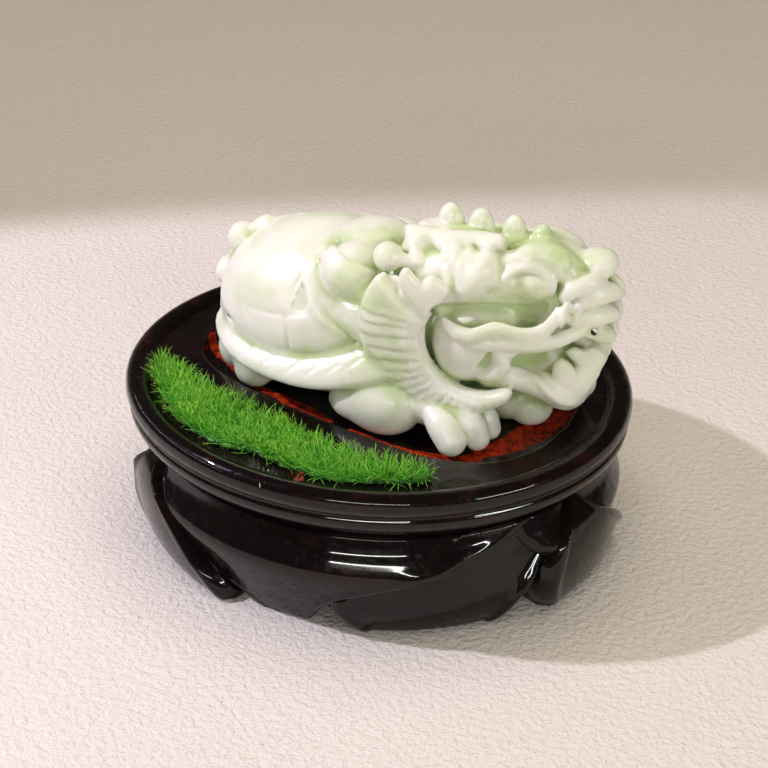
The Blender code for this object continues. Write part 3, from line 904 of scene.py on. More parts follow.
        def measure(x: np.ndarray, y: np.ndarray, z: np.ndarray) -> np.ndarray:
            """Distance to the plate."""
            level, rise, near = (along(x, y, z, axis) for axis in axes)
            form = outline_distance(level, rise, drawn)
            inset = np.clip(-form / round_over, 0.0, 1.0)
            half = thick * (0.1 + 0.9 * np.sqrt(1.0 - (1.0 - inset) ** 2))
            flat = np.abs(near - (level * tilt[0] + rise * tilt[1] + tilt[2])) - half
            return -merge(-flat, -form, 0.9)

        self.shape(loop.min(axis=0) - thick, loop.max(axis=0) + thick, measure, both, blend)

    def mesh(self, name: str, to_world: Callable[[np.ndarray], np.ndarray]) -> bpy.types.Mesh:
        """Skin the block with quads where the distance is zero.

        Args:
            name: Name of the mesh.
            to_world: Turns points of the block into points of the model frame.

        Returns:
            The mesh, with two attributes of how crowded with stone each point is, used for painted shade in
            its hollows and pits.
        """
        inside = self.distance < 0.0
        ends = [size - 1 for size in self.size]
        count = sum(inside[x:ends[0] + x, y:ends[1] + y, z:ends[2] + z].astype(np.int8)
                    for x in (0, 1) for y in (0, 1) for z in (0, 1))
        cells = np.argwhere((count > 0) & (count < 8))
        total = np.zeros((len(cells), 3))
        hits = np.zeros(len(cells))
        corners = [np.array((i & 1, i >> 1 & 1, i >> 2 & 1)) for i in range(8)]
        values = [self.distance[tuple((cells + corner).T)].astype(float) for corner in corners]
        for a in range(8):
            for axis in range(3):
                b = a | (1 << axis)
                if b == a:
                    continue
                crossed = (values[a] < 0.0) != (values[b] < 0.0)
                share = np.where(crossed, values[a] / np.where(crossed, values[a] - values[b], 1.0), 0.0)
                spot = corners[a] + share[:, None] * (corners[b] - corners[a])
                total += np.where(crossed[:, None], spot, 0.0)
                hits += crossed
        points = self.low + self.cell * (cells + total / hits[:, None])
        number = np.full(tuple(size - 1 for size in self.size), -1, np.int64)
        number[tuple(cells.T)] = np.arange(len(cells))
        quads = []
        for axis in range(3):
            ahead = [slice(None)] * 3
            behind = [slice(None)] * 3
            ahead[axis] = slice(1, None)
            behind[axis] = slice(0, -1)
            first, second = inside[tuple(behind)], inside[tuple(ahead)]
            for leaving, pattern in ((True, first & ~second), (False, ~first & second)):
                edges = np.argwhere(pattern)
                u, v = (np.eye(3, dtype=int)[(axis + step) % 3] for step in (1, 2))
                ring = [edges, edges - u, edges - u - v, edges - v]
                if not leaving:
                    ring = ring[::-1]
                quads.append(np.stack([number[tuple(corner.T)] for corner in ring], axis=1))
        quads = np.vstack(quads)
        points = self._settle(points)
        mesh = bpy.data.meshes.new(name)
        mesh.vertices.add(len(points))
        mesh.vertices.foreach_set("co", to_world(points).astype(np.float32).ravel())
        mesh.loops.add(quads.size)
        mesh.loops.foreach_set("vertex_index", quads.ravel().astype(np.int32))
        mesh.polygons.add(len(quads))
        mesh.polygons.foreach_set("loop_start", np.arange(0, quads.size, 4, dtype=np.int32))
        mesh.update(calc_edges=True)
        mesh.validate()
        mesh.shade_smooth()
        # crowding at two reaches, kept as painted shade for the hollows and the pits
        for label, reach in (("hollow", 3.6), ("pit", 1.5)):
            point_attribute(mesh, label, self._crowding(points, reach))
        return mesh

    def _settle(self, points: np.ndarray) -> np.ndarray:
        """Slide the skin's points onto the exact surface."""
        for _ in range(2):
            here = self.depth(points)
            slope = np.stack([(self.depth(points + step) - self.depth(points - step)) / self.cell
                              for step in np.eye(3) * self.cell * 0.5], axis=1)
            steep = np.maximum((slope ** 2).sum(axis=1), self.LOWEST_SLOPE)
            longest = self.LONGEST_MOVE * self.cell
            points = points + slope * np.clip(-here / steep, -longest, longest)[:, None]
        return points

    def _crowding(self, points: np.ndarray, reach: float) -> np.ndarray:
        """How much more than half of the space round each point is stone."""
        full = (self.distance < 0.0).astype(np.float32)
        width = max(1, int(round(reach / self.cell)))
        for axis in range(3):
            full = np.moveaxis(full, axis, 0)
            padded = np.concatenate([np.zeros((width + 1, *full.shape[1:]), np.float32), full,
                                     np.zeros((width, *full.shape[1:]), np.float32)])
            summed = np.cumsum(padded, axis=0)
            full = (summed[2 * width + 1:] - summed[:-2 * width - 1]) / (2 * width + 1)
            full = np.moveaxis(full, 0, axis)
        keep = self.distance
        self.distance = full
        crowd = self.depth(points) - 0.5
        self.distance = keep
        return crowd


@dataclass
class Carving:
    """The jade animal, in units of the carving above the recess floor.

    The circles of the cheek fan are x, z and radius in the frame of the head. A zone of green is x, y, z,
    reach and strength; most are green patches of the stone, and the one on the far paw under the chin is
    painted shade.
    """

    unit: float = 0.001
    seat: float = 0.0353
    head_yaw: float = 10.0
    neck: Triple = (14.0, 0.0, 0.0)
    far_drop: float = 0.22
    far_reach: float = 0.90
    fan_outer: Triple = (8.8, 27.9, 20.4)
    fan_inner: Triple = (15.0, 25.8, 11.9)
    fan_hub: tuple[float, float] = (13.2, 29.2)
    fan_starts: tuple[float, float] = (146.0, 176.0)
    fan_end: float = 307.0
    ribs_from: float = 163.0
    rib_angle: float = 7.2
    rib_groove: float = 0.085
    groove_depth: float = 0.40
    rib_slope: float = 0.34
    swirl: float = 1.6
    swirl_from: float = 182.0
    swirl_over: float = 40.0
    low: Triple = (-47.0, -27.0, -1.0)
    high: Triple = (59.0, 27.0, 52.5)
    fineness: Fineness = Fineness.CLOSE
    green_and_shade_zones: Rows = (
        (10.3, -17.0, 33.3, 5.5, 0.8), (11.3, -18.0, 22.7, 6.0, 0.8), (15.8, -17.0, 13.1, 6.0, 0.7),
        (25.6, -14.0, 9.7, 6.0, 0.6), (34.4, -12.0, 12.8, 5.0, 0.5), (45.9, 0.0, 43.1, 6.0, 1.0),
        (41.0, 2.0, 45.0, 4.5, 0.7), (40.0, -6.0, 37.9, 4.5, 0.9), (0.6, -16.0, 35.5, 4.5, 0.8),
        (2.5, -18.0, 25.6, 4.5, 0.6), (5.9, -4.0, 44.3, 4.5, 0.6), (-5.3, -10.0, 41.4, 3.0, 0.9),
        (9.7, -10.0, 41.0, 3.5, 0.7), (31.6, 0.0, 46.4, 3.5, 0.6), (31.2, -11.0, 25.5, 4.0, 0.3),
        (55.7, 0.0, 33.7, 6.0, 0.5), (54.0, -3.0, 23.5, 6.0, 0.6), (3.9, -16.0, 9.4, 5.0, 0.7),
        (-9.3, -20.0, 17.2, 3.5, 0.5), (38.1, -2.0, 5.9, 7.0, 1.0),
    )

    def build(self) -> bpy.types.Object:
        """Carve the stone and skin it.

        Returns:
            The finished object.
        """
        stone = Stone(self.low, self.high, self.fineness.value)
        body = stone.near, stone.far
        far_head = Matrix(((1.0, 0.0, 0.0, 0.0), (0.0, -self.far_reach, 0.0, 0.0),
                           (0.0, self.far_drop, 1.0, 0.0), (0.0, 0.0, 0.0, 1.0)))
        head = Matrix.Translation(self.neck) @ Matrix.Rotation(math.radians(self.head_yaw), 4, "Z")
        self.trunk(stone)
        self.legs(stone)
        self.tail(stone)
        self.shell(stone)
        stone.use(head, head @ far_head)
        self.skull(stone)
        self.fans(stone)
        self.crest(stone)
        self.brows(stone)
        self.nose(stone)
        self.mouth(stone)
        stone.use(*body)
        self.soles(stone)
        mesh = stone.mesh("jade_dragon_turtle", lambda p: p * self.unit + np.array((0.0, 0.0, self.seat)))
        spots = places(mesh) / self.unit
        spots[:, 2] -= self.seat / self.unit
        # green patches of the stone, and painted shade on the far paw under the chin
        tint = np.zeros(len(spots))
        for x, y, z, reach, weight in self.green_and_shade_zones:
            tint = np.maximum(tint, weight * np.exp(-((spots - (x, y, z)) ** 2).sum(axis=1) / reach ** 2))
        point_attribute(mesh, "tint", tint)
        mesh.materials.append(Jade().make())
        return new_object("jade_dragon_turtle", mesh)

    def trunk(self, stone: Stone) -> None:
        """Dome of the shell, belly, shoulders and the flared frill round them."""
        stone.egg((-11.0, 0.0, 20.0), (28.7, 21.2, 21.0), (0.0, -5.0, 0.0))
        stone.egg((-7.0, 0.0, 10.5), (30.0, 15.0, 11.0))
        stone.egg((7.0, 0.0, 26.0), (15.0, 16.0, 16.5))
        stone.egg((8.0, 0.0, 14.0), (18.0, 14.0, 13.0))
        stone.rope(((-38.2, 0.0, 13.4, 3.0), (-36.0, -8.2, 13.4, 3.0), (-30.6, -15.2, 13.2, 3.0),
                    (-24.8, -19.0, 12.2, 2.7), (-18.4, -20.9, 12.0, 2.9), (-13.0, -21.4, 12.1, 3.2),
                    (-8.0, -21.4, 12.5, 3.6), (-2.6, -21.0, 13.6, 4.0), (3.6, -19.6, 15.5, 4.5),
                    (9.0, -18.2, 17.6, 4.6), (16.0, -15.6, 21.0, 3.4)),
                   flat=0.5, out=FRILL, both=True, blend=1.0)

    def legs(self, stone: Stone) -> None:
        """Hind legs, bent fore legs and their toes."""
        stone.egg((-25.0, -9.5, 9.5), (10.0, 7.0, 8.5), both=True)
        stone.egg((-26.6, -11.8, 4.2), (5.0, 4.4, 5.0), both=True, blend=0.8)
        stone.egg((-34.2, -6.6, 5.6), (4.6, 4.6, 5.6), both=True, blend=0.8)
        stone.egg((9.2, -16.0, 7.2), (10.6, 7.3, 8.2), (0.0, 0.0, -8.0), both=True, blend=1.0)
        stone.rope(((9.0, -16.5, 7.2, 6.2), (3.0, -17.6, 6.4, 4.8), (0.2, -18.0, 6.2, 3.0)), both=True)
        stone.rope(((14.0, -14.6, 8.6, 4.6), (20.0, -14.6, 8.4, 4.8), (25.0, -14.0, 6.6, 5.0)))
        stone.rope(((22.6, -17.0, 8.4, 2.6), (26.2, -19.0, 6.4, 3.6), (28.8, -20.0, 3.6, 3.5)), blend=0.4)
        stone.rope(((25.8, -14.4, 9.2, 2.8), (31.0, -15.2, 6.8, 3.2), (33.0, -15.3, 3.2, 3.0)), blend=0.4)
        stone.rope(((27.0, -10.4, 9.2, 2.8), (32.4, -10.6, 6.4, 2.9), (33.8, -10.4, 3.2, 2.7)), blend=0.4)
        stone.egg((32.0, 4.6, 6.0), (10.6, 8.4, 7.6), (0.0, 0.0, 14.0))
        stone.egg((38.4, 2.2, 4.2), (5.4, 5.2, 5.0), blend=0.6)
        stone.egg((28.0, 12.0, 5.0), (8.0, 5.4, 6.0))

    def tail(self, stone: Stone) -> None:
        """Tail that curls down the back of the shell in lobes."""
        stone.rope(((-21.0, 3.5, 37.6, 1.6), (-28.4, 3.5, 34.4, 2.2), (-35.4, 2.5, 29.0, 3.0),
                    (-39.0, 1.5, 21.4, 3.0), (-40.4, 0.5, 12.0, 2.6)), flat=0.9, out=(-1.0, 0.0, 0.4))
        stone.egg((-36.2, 1.0, 31.0), (3.5, 3.8, 3.7), (0.0, 30.0, 0.0), blend=0.7)
        stone.egg((-38.6, -1.2, 22.6), (3.4, 4.0, 3.9), (0.0, 15.0, 0.0), blend=0.7)
        stone.egg((-31.6, 2.8, 34.0), (4.2, 3.0, 2.2), (0.0, -38.0, 0.0), blend=0.7)

    def shell(self, stone: Stone) -> None:
        """Lobes and ribbons on the back, lines between the plates, strokes of the frill."""
        stone.egg((0.5, -2.5, 41.4), (8.4, 7.4, 2.9), (0.0, -8.0, 0.0), blend=0.8)
        stone.egg((1.4, -9.6, 39.4), (5.4, 4.6, 3.0), (-20.0, 0.0, 0.0), blend=0.9)
        stone.egg((0.2, -12.6, 35.6), (7.4, 6.4, 6.8), (-28.0, 0.0, 0.0), blend=0.8)
        stone.egg((0.2, 12.0, 31.2), (7.4, 6.4, 6.4), (28.0, 0.0, 0.0), blend=0.8)
        stone.egg((6.0, -15.6, 27.0), (8.0, 4.6, 7.0), both=True)
        gap = ((-36.4, -6.0, 18.0, 0.6), (-28.9, -17.3, 17.6, 0.7), (-24.1, -19.5, 16.9, 0.8),
               (-18.7, -21.0, 16.4, 1.0), (-12.4, -21.6, 16.4, 1.2), (-7.1, -21.6, 17.0, 1.2),
               (-1.2, -20.7, 19.1, 1.0), (1.9, -19.4, 20.8, 0.8), (4.6, -18.2, 22.4, 0.5))
        stone.rope(gap, both=True, cut=True, blend=0.5)
        stone.patch(((-9.3, -8.9, 39.3), (-7.3, -13.5, 38.5), (-6.0, -14.6, 35.8), (-3.9, -15.7, 33.3),
                     (-0.1, -18.1, 33.3), (2.4, -18.6, 32.3), (4.8, -18.9, 32.6), (9.0, -18.3, 33.5),
                     (11.6, -18.9, 37.4), (8.9, -15.8, 39.3), (2.1, -15.9, 40.2), (-4.9, -9.4, 40.5)),
                    0.8, 2.2, out=FLANK)
        stone.line(((-5.8, -13.8, 39.6, 0.7), (-7.6, -14.5, 38.2, 1.0), (-8.0, -16.6, 36.0, 1.4),
                    (-7.6, -18.3, 33.4, 1.7), (-6.2, -19.6, 30.7, 1.7), (-4.6, -20.4, 28.4, 1.4),
                    (-2.6, -20.6, 26.3, 0.8)), out=FLANK, blend=0.8, cut=False, flat=0.55, sink=0.2)
        stone.patch(((-9.4, -17.6, 33.6), (-11.8, -20.2, 26.9), (-6.4, -20.8, 28.4)), -0.8, 1.0,
                    out=FLANK, edge=0.3)
        for rows in (((-23.4, -19.0, 24.3, 0.2), (-16.1, -20.5, 25.1, 0.42), (-8.9, -20.3, 26.4, 0.45),
                      (-5.6, -20.7, 28.0, 0.3)),
                     ((-13.0, -20.5, 25.3, 0.35), (-12.1, -21.2, 21.8, 0.45), (-12.1, -20.6, 17.3, 0.5)),
                     ((-7.6, -12.9, 39.2, 0.5), (-9.7, -16.4, 35.9, 0.55), (-11.6, -18.4, 31.4, 0.5),
                      (-12.5, -19.6, 28.2, 0.35)),
                     ((-6.2, -14.2, 37.2, 0.4), (-4.6, -15.9, 33.6, 0.6), (-0.6, -18.0, 32.0, 0.7),
                      (4.4, -18.6, 31.2, 0.6), (8.4, -18.4, 32.4, 0.4)),
                     ((-5.2, -9.2, 40.6, 0.5), (-2.6, -12.4, 40.6, 0.55), (1.6, -14.6, 40.0, 0.6),
                      (8.0, -15.0, 39.6, 0.5)),
                     ((-4.6, -18.6, 30.4, 0.3), (-3.2, -19.0, 28.4, 0.5), (-0.5, -19.4, 25.5, 0.5),
                      (4.0, -18.5, 22.1, 0.4))):
            stone.line(rows, out=FLANK)
        for x in (-30.0, -23.0, -16.0, -9.6, -4.6, 0.4, 5.0):
            y = -22.6 + 0.012 * (x + 6.0) ** 2
            z = 12.6 + 0.018 * (x + 10.0) ** 2 * (x > -10.0)
            stone.line(((x + 1.6, y + 1.0, z + 2.8, 0.2), (x - 0.6, y, z + 0.9, 0.34),
                        (x - 2.6, y - 1.0, z - 0.9, 0.16)), out=FRILL, blend=0.3)

    def skull(self, stone: Stone) -> None:
        """Main masses of the head."""
        stone.egg((12.5, 0.0, 31.0), (17.0, 13.0, 13.6))
        stone.egg((27.5, 0.0, 32.0), (12.5, 9.6, 9.2))
        stone.egg((14.6, -7.6, 24.4), (11.2, 10.0, 11.0), both=True)
        stone.egg((20.0, 0.0, 18.0), (13.0, 11.5, 10.0))
        stone.egg((10.9, -8.2, 23.0), (8.2, 9.6, 10.4), (0.0, 0.0, -4.0), both=True, blend=1.5)
        stone.egg((10.0, -0.6, 40.4), (16.5, 8.6, 4.4))
        stone.egg((5.0, -9.0, 36.0), (11.0, 6.0, 6.0), both=True)
        stone.egg((9.5, -8.4, 38.4), (12.5, 6.6, 5.4), (-30.0, 0.0, -3.0), both=True, blend=1.2)
        stone.egg((27.2, 0.0, 39.6), (8.0, 7.4, 6.4), (0.0, 8.0, 0.0))

    def fans(self, stone: Stone) -> None:
        """Cheek fans: crescent plates with raised ribs."""
        keep = stone.near, stone.far
        for side, start in zip(keep, self.fan_starts):
            stone.use(side, side)

            def measure(x: np.ndarray, y: np.ndarray, z: np.ndarray, start: float = start) -> np.ndarray:
                """Distance to the plate with its ribs."""
                outer = np.hypot(x - self.fan_outer[0], z - self.fan_outer[1]) - self.fan_outer[2]
                inner = self.fan_inner[2] - np.hypot(x - self.fan_inner[0], z - self.fan_inner[1])
                edge = -merge(-outer, -inner, 0.8)
                angle = np.degrees(np.arctan2(z - self.fan_hub[1], x - self.fan_hub[0])) % 360.0
                edge = -merge(-edge, np.minimum((angle - start) * 0.25, (self.fan_end - angle) * 0.25), 2.6)
                inset = np.clip(-edge / 3.4, 0.0, 1.0)
                plate = np.abs(y + 17.2 - 0.05 * (29.0 - z)) - (1.3 + 1.7 * np.sqrt(inset))
                swirl = self.swirl * np.clip((angle - self.swirl_from) / self.swirl_over, 0.0, 1.0)
                share = (angle + swirl * outer) / self.rib_angle
                part = share - np.floor(share)
                groove = np.exp(-(np.minimum(part, 1.0 - part) / self.rib_groove) ** 2)
                fade = (np.clip((0.2 - outer) / 0.8, 0.0, 1.0) * np.clip((-inner - 0.9) / 0.8, 0.0, 1.0)
                        * np.clip((angle - self.ribs_from) / 6.0, 0.0, 1.0))
                plate = plate + (self.groove_depth * groove - self.rib_slope * part) * fade
                return -merge(-plate, -(edge + 0.16 * groove * (outer > -2.0)), 0.9)

            stone.shape((-12.0, -22.0, 7.0), (30.0, -12.0, 50.0), measure, blend=0.7)
            stone.egg((-1.9, -20.6, 42.5), (4.8, 3.6, 5.4), blend=0.8, cut=True)
        stone.use(*keep)

    def crest(self, stone: Stone) -> None:
        """Four horns on the head, the scalloped veil under them and the locks that hang from it."""
        for x, top, lean, wide in ((4.4, 51.2, -2.0, 3.0), (11.3, 50.9, 0.0, 2.9), (18.7, 50.2, 4.0, 2.7),
                                   (24.6, 48.9, 12.0, 2.4)):
            stone.egg((x, -0.2, top - 4.6), (wide, 2.6, 4.6), (0.0, lean, 0.0))
        stone.egg((-6.6, -12.4, 42.2), (3.3, 3.3, 3.5), blend=0.5)
        stone.egg((-6.2, 11.0, 35.4), (3.3, 3.3, 3.5), blend=0.5)
        stone.rope(((-3.4, -12.6, 42.0, 1.6), (0.0, -11.6, 40.6, 1.6)))
        # hair drawn together over the cheek, with an undercut lower edge
        stone.patch(((4.4, -9.4, 43.9), (2.3, -6.0, 44.4), (15.4, -4.0, 45.9), (20.5, -9.5, 44.8),
                     (28.9, -11.3, 44.0), (30.0, -10.7, 41.0), (29.2, -11.1, 36.9), (26.0, -11.2, 35.6),
                     (23.3, -12.4, 36.0), (17.0, -14.1, 36.4), (13.8, -14.5, 35.6), (10.5, -14.8, 35.2),
                     (8.6, -15.2, 36.2), (7.3, -15.3, 35.4), (5.3, -12.6, 40.6)), 1.3, 1.6)
        stone.line(((18.8, -7.0, 45.1, 1.4), (18.8, -12.0, 41.2, 1.8), (17.4, -14.1, 36.8, 1.4)),
                   sink=-0.9, blend=1.2)
        stone.line(((6.0, -12.6, 42.6, 1.2), (8.0, -14.6, 39.8, 1.3), (9.2, -15.4, 36.6, 0.9)),
                   sink=-0.7, blend=1.0)
        stone.line(((17.2, -6.4, 45.4, 1.3), (14.8, -12.0, 43.4, 1.8), (12.9, -14.9, 39.4, 1.9),
                    (11.5, -15.8, 36.4, 1.2)), sink=0.9, blend=1.6, cut=False)
        stone.line(((9.6, -11.5, 43.2, 0.5), (9.9, -13.6, 40.4, 0.6), (10.2, -14.9, 37.4, 0.4)),
                   sink=0.2, blend=0.7, cut=False)
        # veil with scallops and hanging ribbons
        facing = (-30.0, 0.0, 17.0)
        stone.egg((5.6, -3.6, 44.8), (10.4, 2.4, 2.4), facing, blend=1.2)
        stone.egg((1.3, -6.7, 42.9), (6.2, 2.6, 3.4), facing, blend=1.0)
        stone.egg((11.1, -6.0, 44.2), (4.2, 2.4, 2.8), facing, blend=1.0)
        stone.egg((9.7, -7.4, 45.4), (5.0, 2.0, 2.2), facing, blend=1.2)
        stone.plate(((-5.1, -5.2, 46.5), (-3.4, -4.6, 47.2), (0.9, -5.2, 47.3), (6.0, -5.8, 47.5),
                     (11.5, -6.0, 48.2), (17.0, -6.6, 48.5), (18.2, -7.9, 47.6), (17.0, -9.0, 46.5),
                     (15.8, -10.2, 45.4), (13.7, -10.0, 45.3), (11.6, -8.6, 46.0), (10.2, -9.4, 45.2),
                     (8.6, -8.6, 45.6), (8.0, -10.2, 44.3), (6.0, -10.4, 43.9), (4.0, -9.8, 44.0),
                     (1.8, -8.4, 44.8), (0.3, -8.1, 44.9), (-0.0, -9.2, 43.9), (0.7, -10.9, 42.6),
                     (0.6, -12.8, 41.1), (-1.2, -12.2, 41.3), (-2.7, -10.0, 42.9), (-4.2, -7.5, 44.7)),
                    1.6, 2.0, both=False, blend=0.7)
        for centre, radii, blend in (((5.6, 4.0, 42.0), (10.6, 2.4, 2.6), 1.2),
                                     ((2.8, 5.4, 41.3), (4.5, 1.9, 3.4), 0.7),
                                     ((13.7, 5.4, 42.6), (3.7, 1.9, 2.9), 0.7),
                                     ((-2.5, 4.6, 41.6), (2.6, 1.7, 2.4), 0.9)):
            stone.egg(centre, radii, (30.0, 0.0, -17.0), blend=blend)
        for rows in (((-1.0, -5.8, 44.2, 0.6), (0.2, -8.4, 43.0, 0.7), (0.8, -12.6, 42.0, 0.6)),
                     ((8.2, -9.8, 45.2, 0.8), (8.3, -12.6, 44.2, 0.95), (8.2, -14.0, 42.6, 0.5)),
                     ((11.2, -9.0, 45.4, 0.6), (11.6, -12.4, 44.4, 0.7), (12.0, -14.0, 42.8, 0.4))):
            stone.line(rows, sink=0.3, blend=0.7, cut=False)
        stone.line(((16.6, -5.6, 45.6, 1.4), (19.6, -5.4, 45.8, 1.9), (22.6, -4.0, 46.6, 1.4)),
                   sink=0.7, blend=0.8, cut=False)
        stone.line(((17.6, -6.6, 45.2, 0.3), (20.4, -5.4, 46.2, 0.42), (24.0, -2.6, 47.0, 0.3)),
                   blend=0.4)
        # heart-shaped lobe that covers the top of the fan
        stone.line(((-4.0, -19.6, 43.2, 0.8), (-2.9, -20.2, 39.8, 1.1), (-1.4, -20.4, 36.7, 1.1),
                    (0.8, -20.4, 34.1, 1.0), (3.6, -19.6, 31.4, 0.7)),
                   blend=0.8)
        stone.plate(((-2.2, -19.5, 39.8), (-1.8, -19.2, 42.6), (-0.3, -19.0, 43.9), (1.3, -19.1, 42.5),
                     (2.7, -18.6, 40.8), (4.4, -17.6, 41.8), (6.7, -16.7, 40.7), (8.4, -16.2, 38.3),
                     (7.9, -16.8, 36.1), (6.2, -17.9, 34.2), (3.9, -19.4, 32.1), (1.4, -20.2, 34.8),
                     (-0.9, -19.9, 37.3)), 2.0, 3.2)

    def brows(self, stone: Stone) -> None:
        """Forehead lobe, eye with its lid, and the trough under the hair."""
        stone.rope(((15.0, -8.6, 40.6, 2.2), (20.6, -8.0, 42.8, 2.6), (27.0, -5.6, 43.4, 3.2),
                    (32.2, -5.6, 41.0, 3.0), (33.2, -6.8, 37.4, 2.2)), both=True, blend=1.4)
        stone.patch(((20.5, -9.5, 44.8), (22.7, -5.5, 46.6), (27.1, -1.9, 47.4), (30.7, -2.5, 46.0),
                     (33.0, -3.6, 43.6), (33.1, -8.2, 42.2), (31.5, -10.4, 40.4), (29.7, -11.0, 43.5),
                     (27.0, -10.9, 45.0), (23.9, -11.6, 44.6)), 0.7, 2.6)
        stone.egg((24.8, -8.6, 38.6), (5.2, 3.6, 3.9), (0.0, 4.0, 6.0), both=True, blend=0.5)
        stone.line(((19.6, -12.6, 40.4, 0.8), (21.2, -12.9, 42.6, 1.15), (24.6, -12.0, 44.2, 1.35),
                    (28.0, -11.3, 43.6, 1.3), (30.0, -10.7, 41.0, 1.15), (30.0, -10.3, 37.7, 0.8)),
                   blend=0.5, cut=False)
        stone.line(((20.4, -12.4, 39.0, 0.3), (22.4, -11.8, 41.5, 0.45), (25.4, -11.8, 42.3, 0.5),
                    (28.2, -11.3, 41.2, 0.45), (29.0, -10.8, 38.2, 0.3)))
        stone.patch(((3.2, -15.0, 31.2), (7.1, -14.6, 34.1), (12.7, -14.4, 35.1), (18.9, -12.2, 34.9),
                     (24.9, -10.4, 34.6), (28.9, -10.7, 36.2), (29.8, -11.3, 34.4), (28.9, -13.1, 32.5),
                     (26.6, -14.4, 30.6), (24.2, -15.2, 30.2), (20.9, -15.6, 31.4), (17.7, -16.1, 31.3),
                     (15.4, -17.4, 29.8), (11.9, -17.8, 29.6), (8.2, -16.8, 31.0)), -1.7, 0.8, edge=0.6)

    def nose(self, stone: Stone) -> None:
        """Ball of the nose, nostrils and the pointed leaves in front of them."""
        stone.egg((31.5, 0.0, 39.0), (7.0, 5.4, 4.6))
        stone.egg((35.0, 0.0, 30.0), (4.6, 6.6, 9.4))
        stone.egg((37.8, -0.4, 41.3), (4.7, 4.8, 3.4), (0.0, -6.0, 0.0), blend=0.6)
        stone.rope(((32.2, -8.8, 36.2, 1.3), (34.2, -7.8, 38.2, 2.2), (36.8, -5.9, 39.0, 2.4),
                    (39.0, -3.6, 38.0, 1.9)), both=True, blend=0.4)
        for rows in (((34.6, -7.2, 34.6, 2.2), (38.0, -5.6, 36.0, 2.7), (41.2, -3.0, 36.0, 2.3),
                      (43.3, -1.0, 34.9, 1.1)),
                     ((34.8, -8.0, 31.0, 2.0), (38.2, -6.2, 31.2, 2.6), (41.0, -3.6, 31.0, 2.3),
                      (43.1, -1.4, 29.5, 1.0)),
                     ((36.6, -7.2, 28.2, 1.6), (39.2, -5.6, 27.2, 2.0), (40.8, -3.8, 25.8, 2.2),
                      (42.2, -1.8, 24.0, 1.0))):
            stone.rope(rows, flat=0.8, out=SLANT, both=True, blend=0.3)

    def mouth(self, stone: Stone) -> None:
        """Moustache, lips, jaw, leaves of the beard and the open mouth."""
        stone.rope(((7.6, -17.2, 31.4, 0.7), (8.8, -17.8, 30.0, 1.4), (11.2, -17.9, 28.6, 2.0),
                    (14.1, -17.7, 28.4, 1.9), (16.7, -17.4, 29.6, 1.7), (19.0, -16.7, 30.3, 1.8),
                    (21.7, -16.0, 29.6, 1.8), (24.6, -14.9, 28.8, 1.8), (27.5, -13.8, 28.9, 1.8),
                    (29.6, -12.8, 30.2, 1.6), (31.0, -12.2, 32.2, 1.4), (31.6, -11.4, 34.2, 0.9)),
                   flat=0.62, both=True, blend=0.5, steps=3)
        stone.rope(((11.0, -16.6, 25.8, 1.2), (13.7, -17.0, 26.0, 1.6), (17.0, -16.8, 26.3, 1.7),
                    (20.1, -16.1, 26.5, 1.7), (24.4, -15.0, 26.2, 1.7), (28.5, -13.5, 26.3, 1.7),
                    (31.5, -12.2, 27.0, 1.7), (34.4, -10.4, 27.9, 1.6), (37.0, -8.2, 28.6, 1.4)),
                   flat=0.85, both=True, blend=0.4, steps=3)
        stone.egg((20.2, -12.4, 20.8), (3.0, 3.0, 2.6), both=True)
        stone.rope(((17.0, -11.0, 16.0, 3.4), (24.0, -11.6, 16.2, 3.0), (29.6, -10.6, 14.4, 3.2),
                    (33.4, -7.0, 11.4, 4.0), (34.6, 0.0, 10.8, 4.2)), both=True, blend=0.8)
        stone.egg((31.0, 0.0, 14.0), (7.0, 8.0, 6.0))
        stone.rope(((35.0, -6.0, 12.4, 3.4), (37.4, -4.8, 17.0, 3.2), (38.4, -3.8, 20.6, 2.4)), both=True)
        stone.egg((26.0, -10.8, 20.6), (4.6, 6.0, 2.6), (0.0, 14.0, -16.0), both=True, cut=True, blend=0.4)
        stone.egg((29.4, -9.6, 21.4), (2.6, 5.0, 1.8), (0.0, -8.0, -16.0), both=True, cut=True, blend=0.4)
        # beard leaves that close the front of the mouth
        stone.egg((36.6, -6.0, 16.0), (3.2, 2.6, 5.4), (-30.0, 20.0, 17.0), both=True, blend=0.4)
        stone.plate(((33.1, -8.6, 22.4), (34.8, -7.5, 23.8), (36.8, -6.2, 22.7), (38.4, -5.2, 23.4),
                     (40.7, -3.8, 21.6), (41.6, -3.3, 19.1), (40.6, -4.0, 17.1), (38.4, -5.4, 16.7),
                     (35.7, -7.1, 18.9)), 1.6, 1.9)
        stone.plate(((31.0, -11.0, 20.6), (32.3, -10.2, 22.1), (34.4, -9.1, 20.6), (36.0, -8.4, 17.7),
                     (36.2, -8.4, 13.8), (34.7, -9.2, 11.5), (32.6, -10.3, 13.5), (31.0, -11.1, 17.3)),
                    1.8, 2.2)
        stone.line(((23.0, -11.8, 18.2, 0.8), (27.5, -12.8, 17.4, 1.0), (30.7, -13.5, 14.8, 1.1),
                    (33.3, -12.3, 12.2, 1.0), (35.6, -10.3, 10.9, 0.7)), sink=0.3, blend=0.5, cut=False)
        # curl at the corner of the mouth
        stone.rope(((18.9, -16.2, 24.4, 1.0), (20.4, -15.6, 22.6, 1.8), (20.2, -15.5, 20.2, 1.9),
                    (18.4, -15.7, 18.3, 1.4), (15.6, -15.7, 17.6, 1.0)), flat=0.8, both=True, blend=0.4)
        stone.line(((18.0, -17.1, 24.2, 0.7), (17.4, -16.9, 22.2, 1.15), (16.4, -16.5, 20.4, 1.2),
                    (14.9, -16.1, 19.0, 0.6)), sink=0.5, blend=0.5)
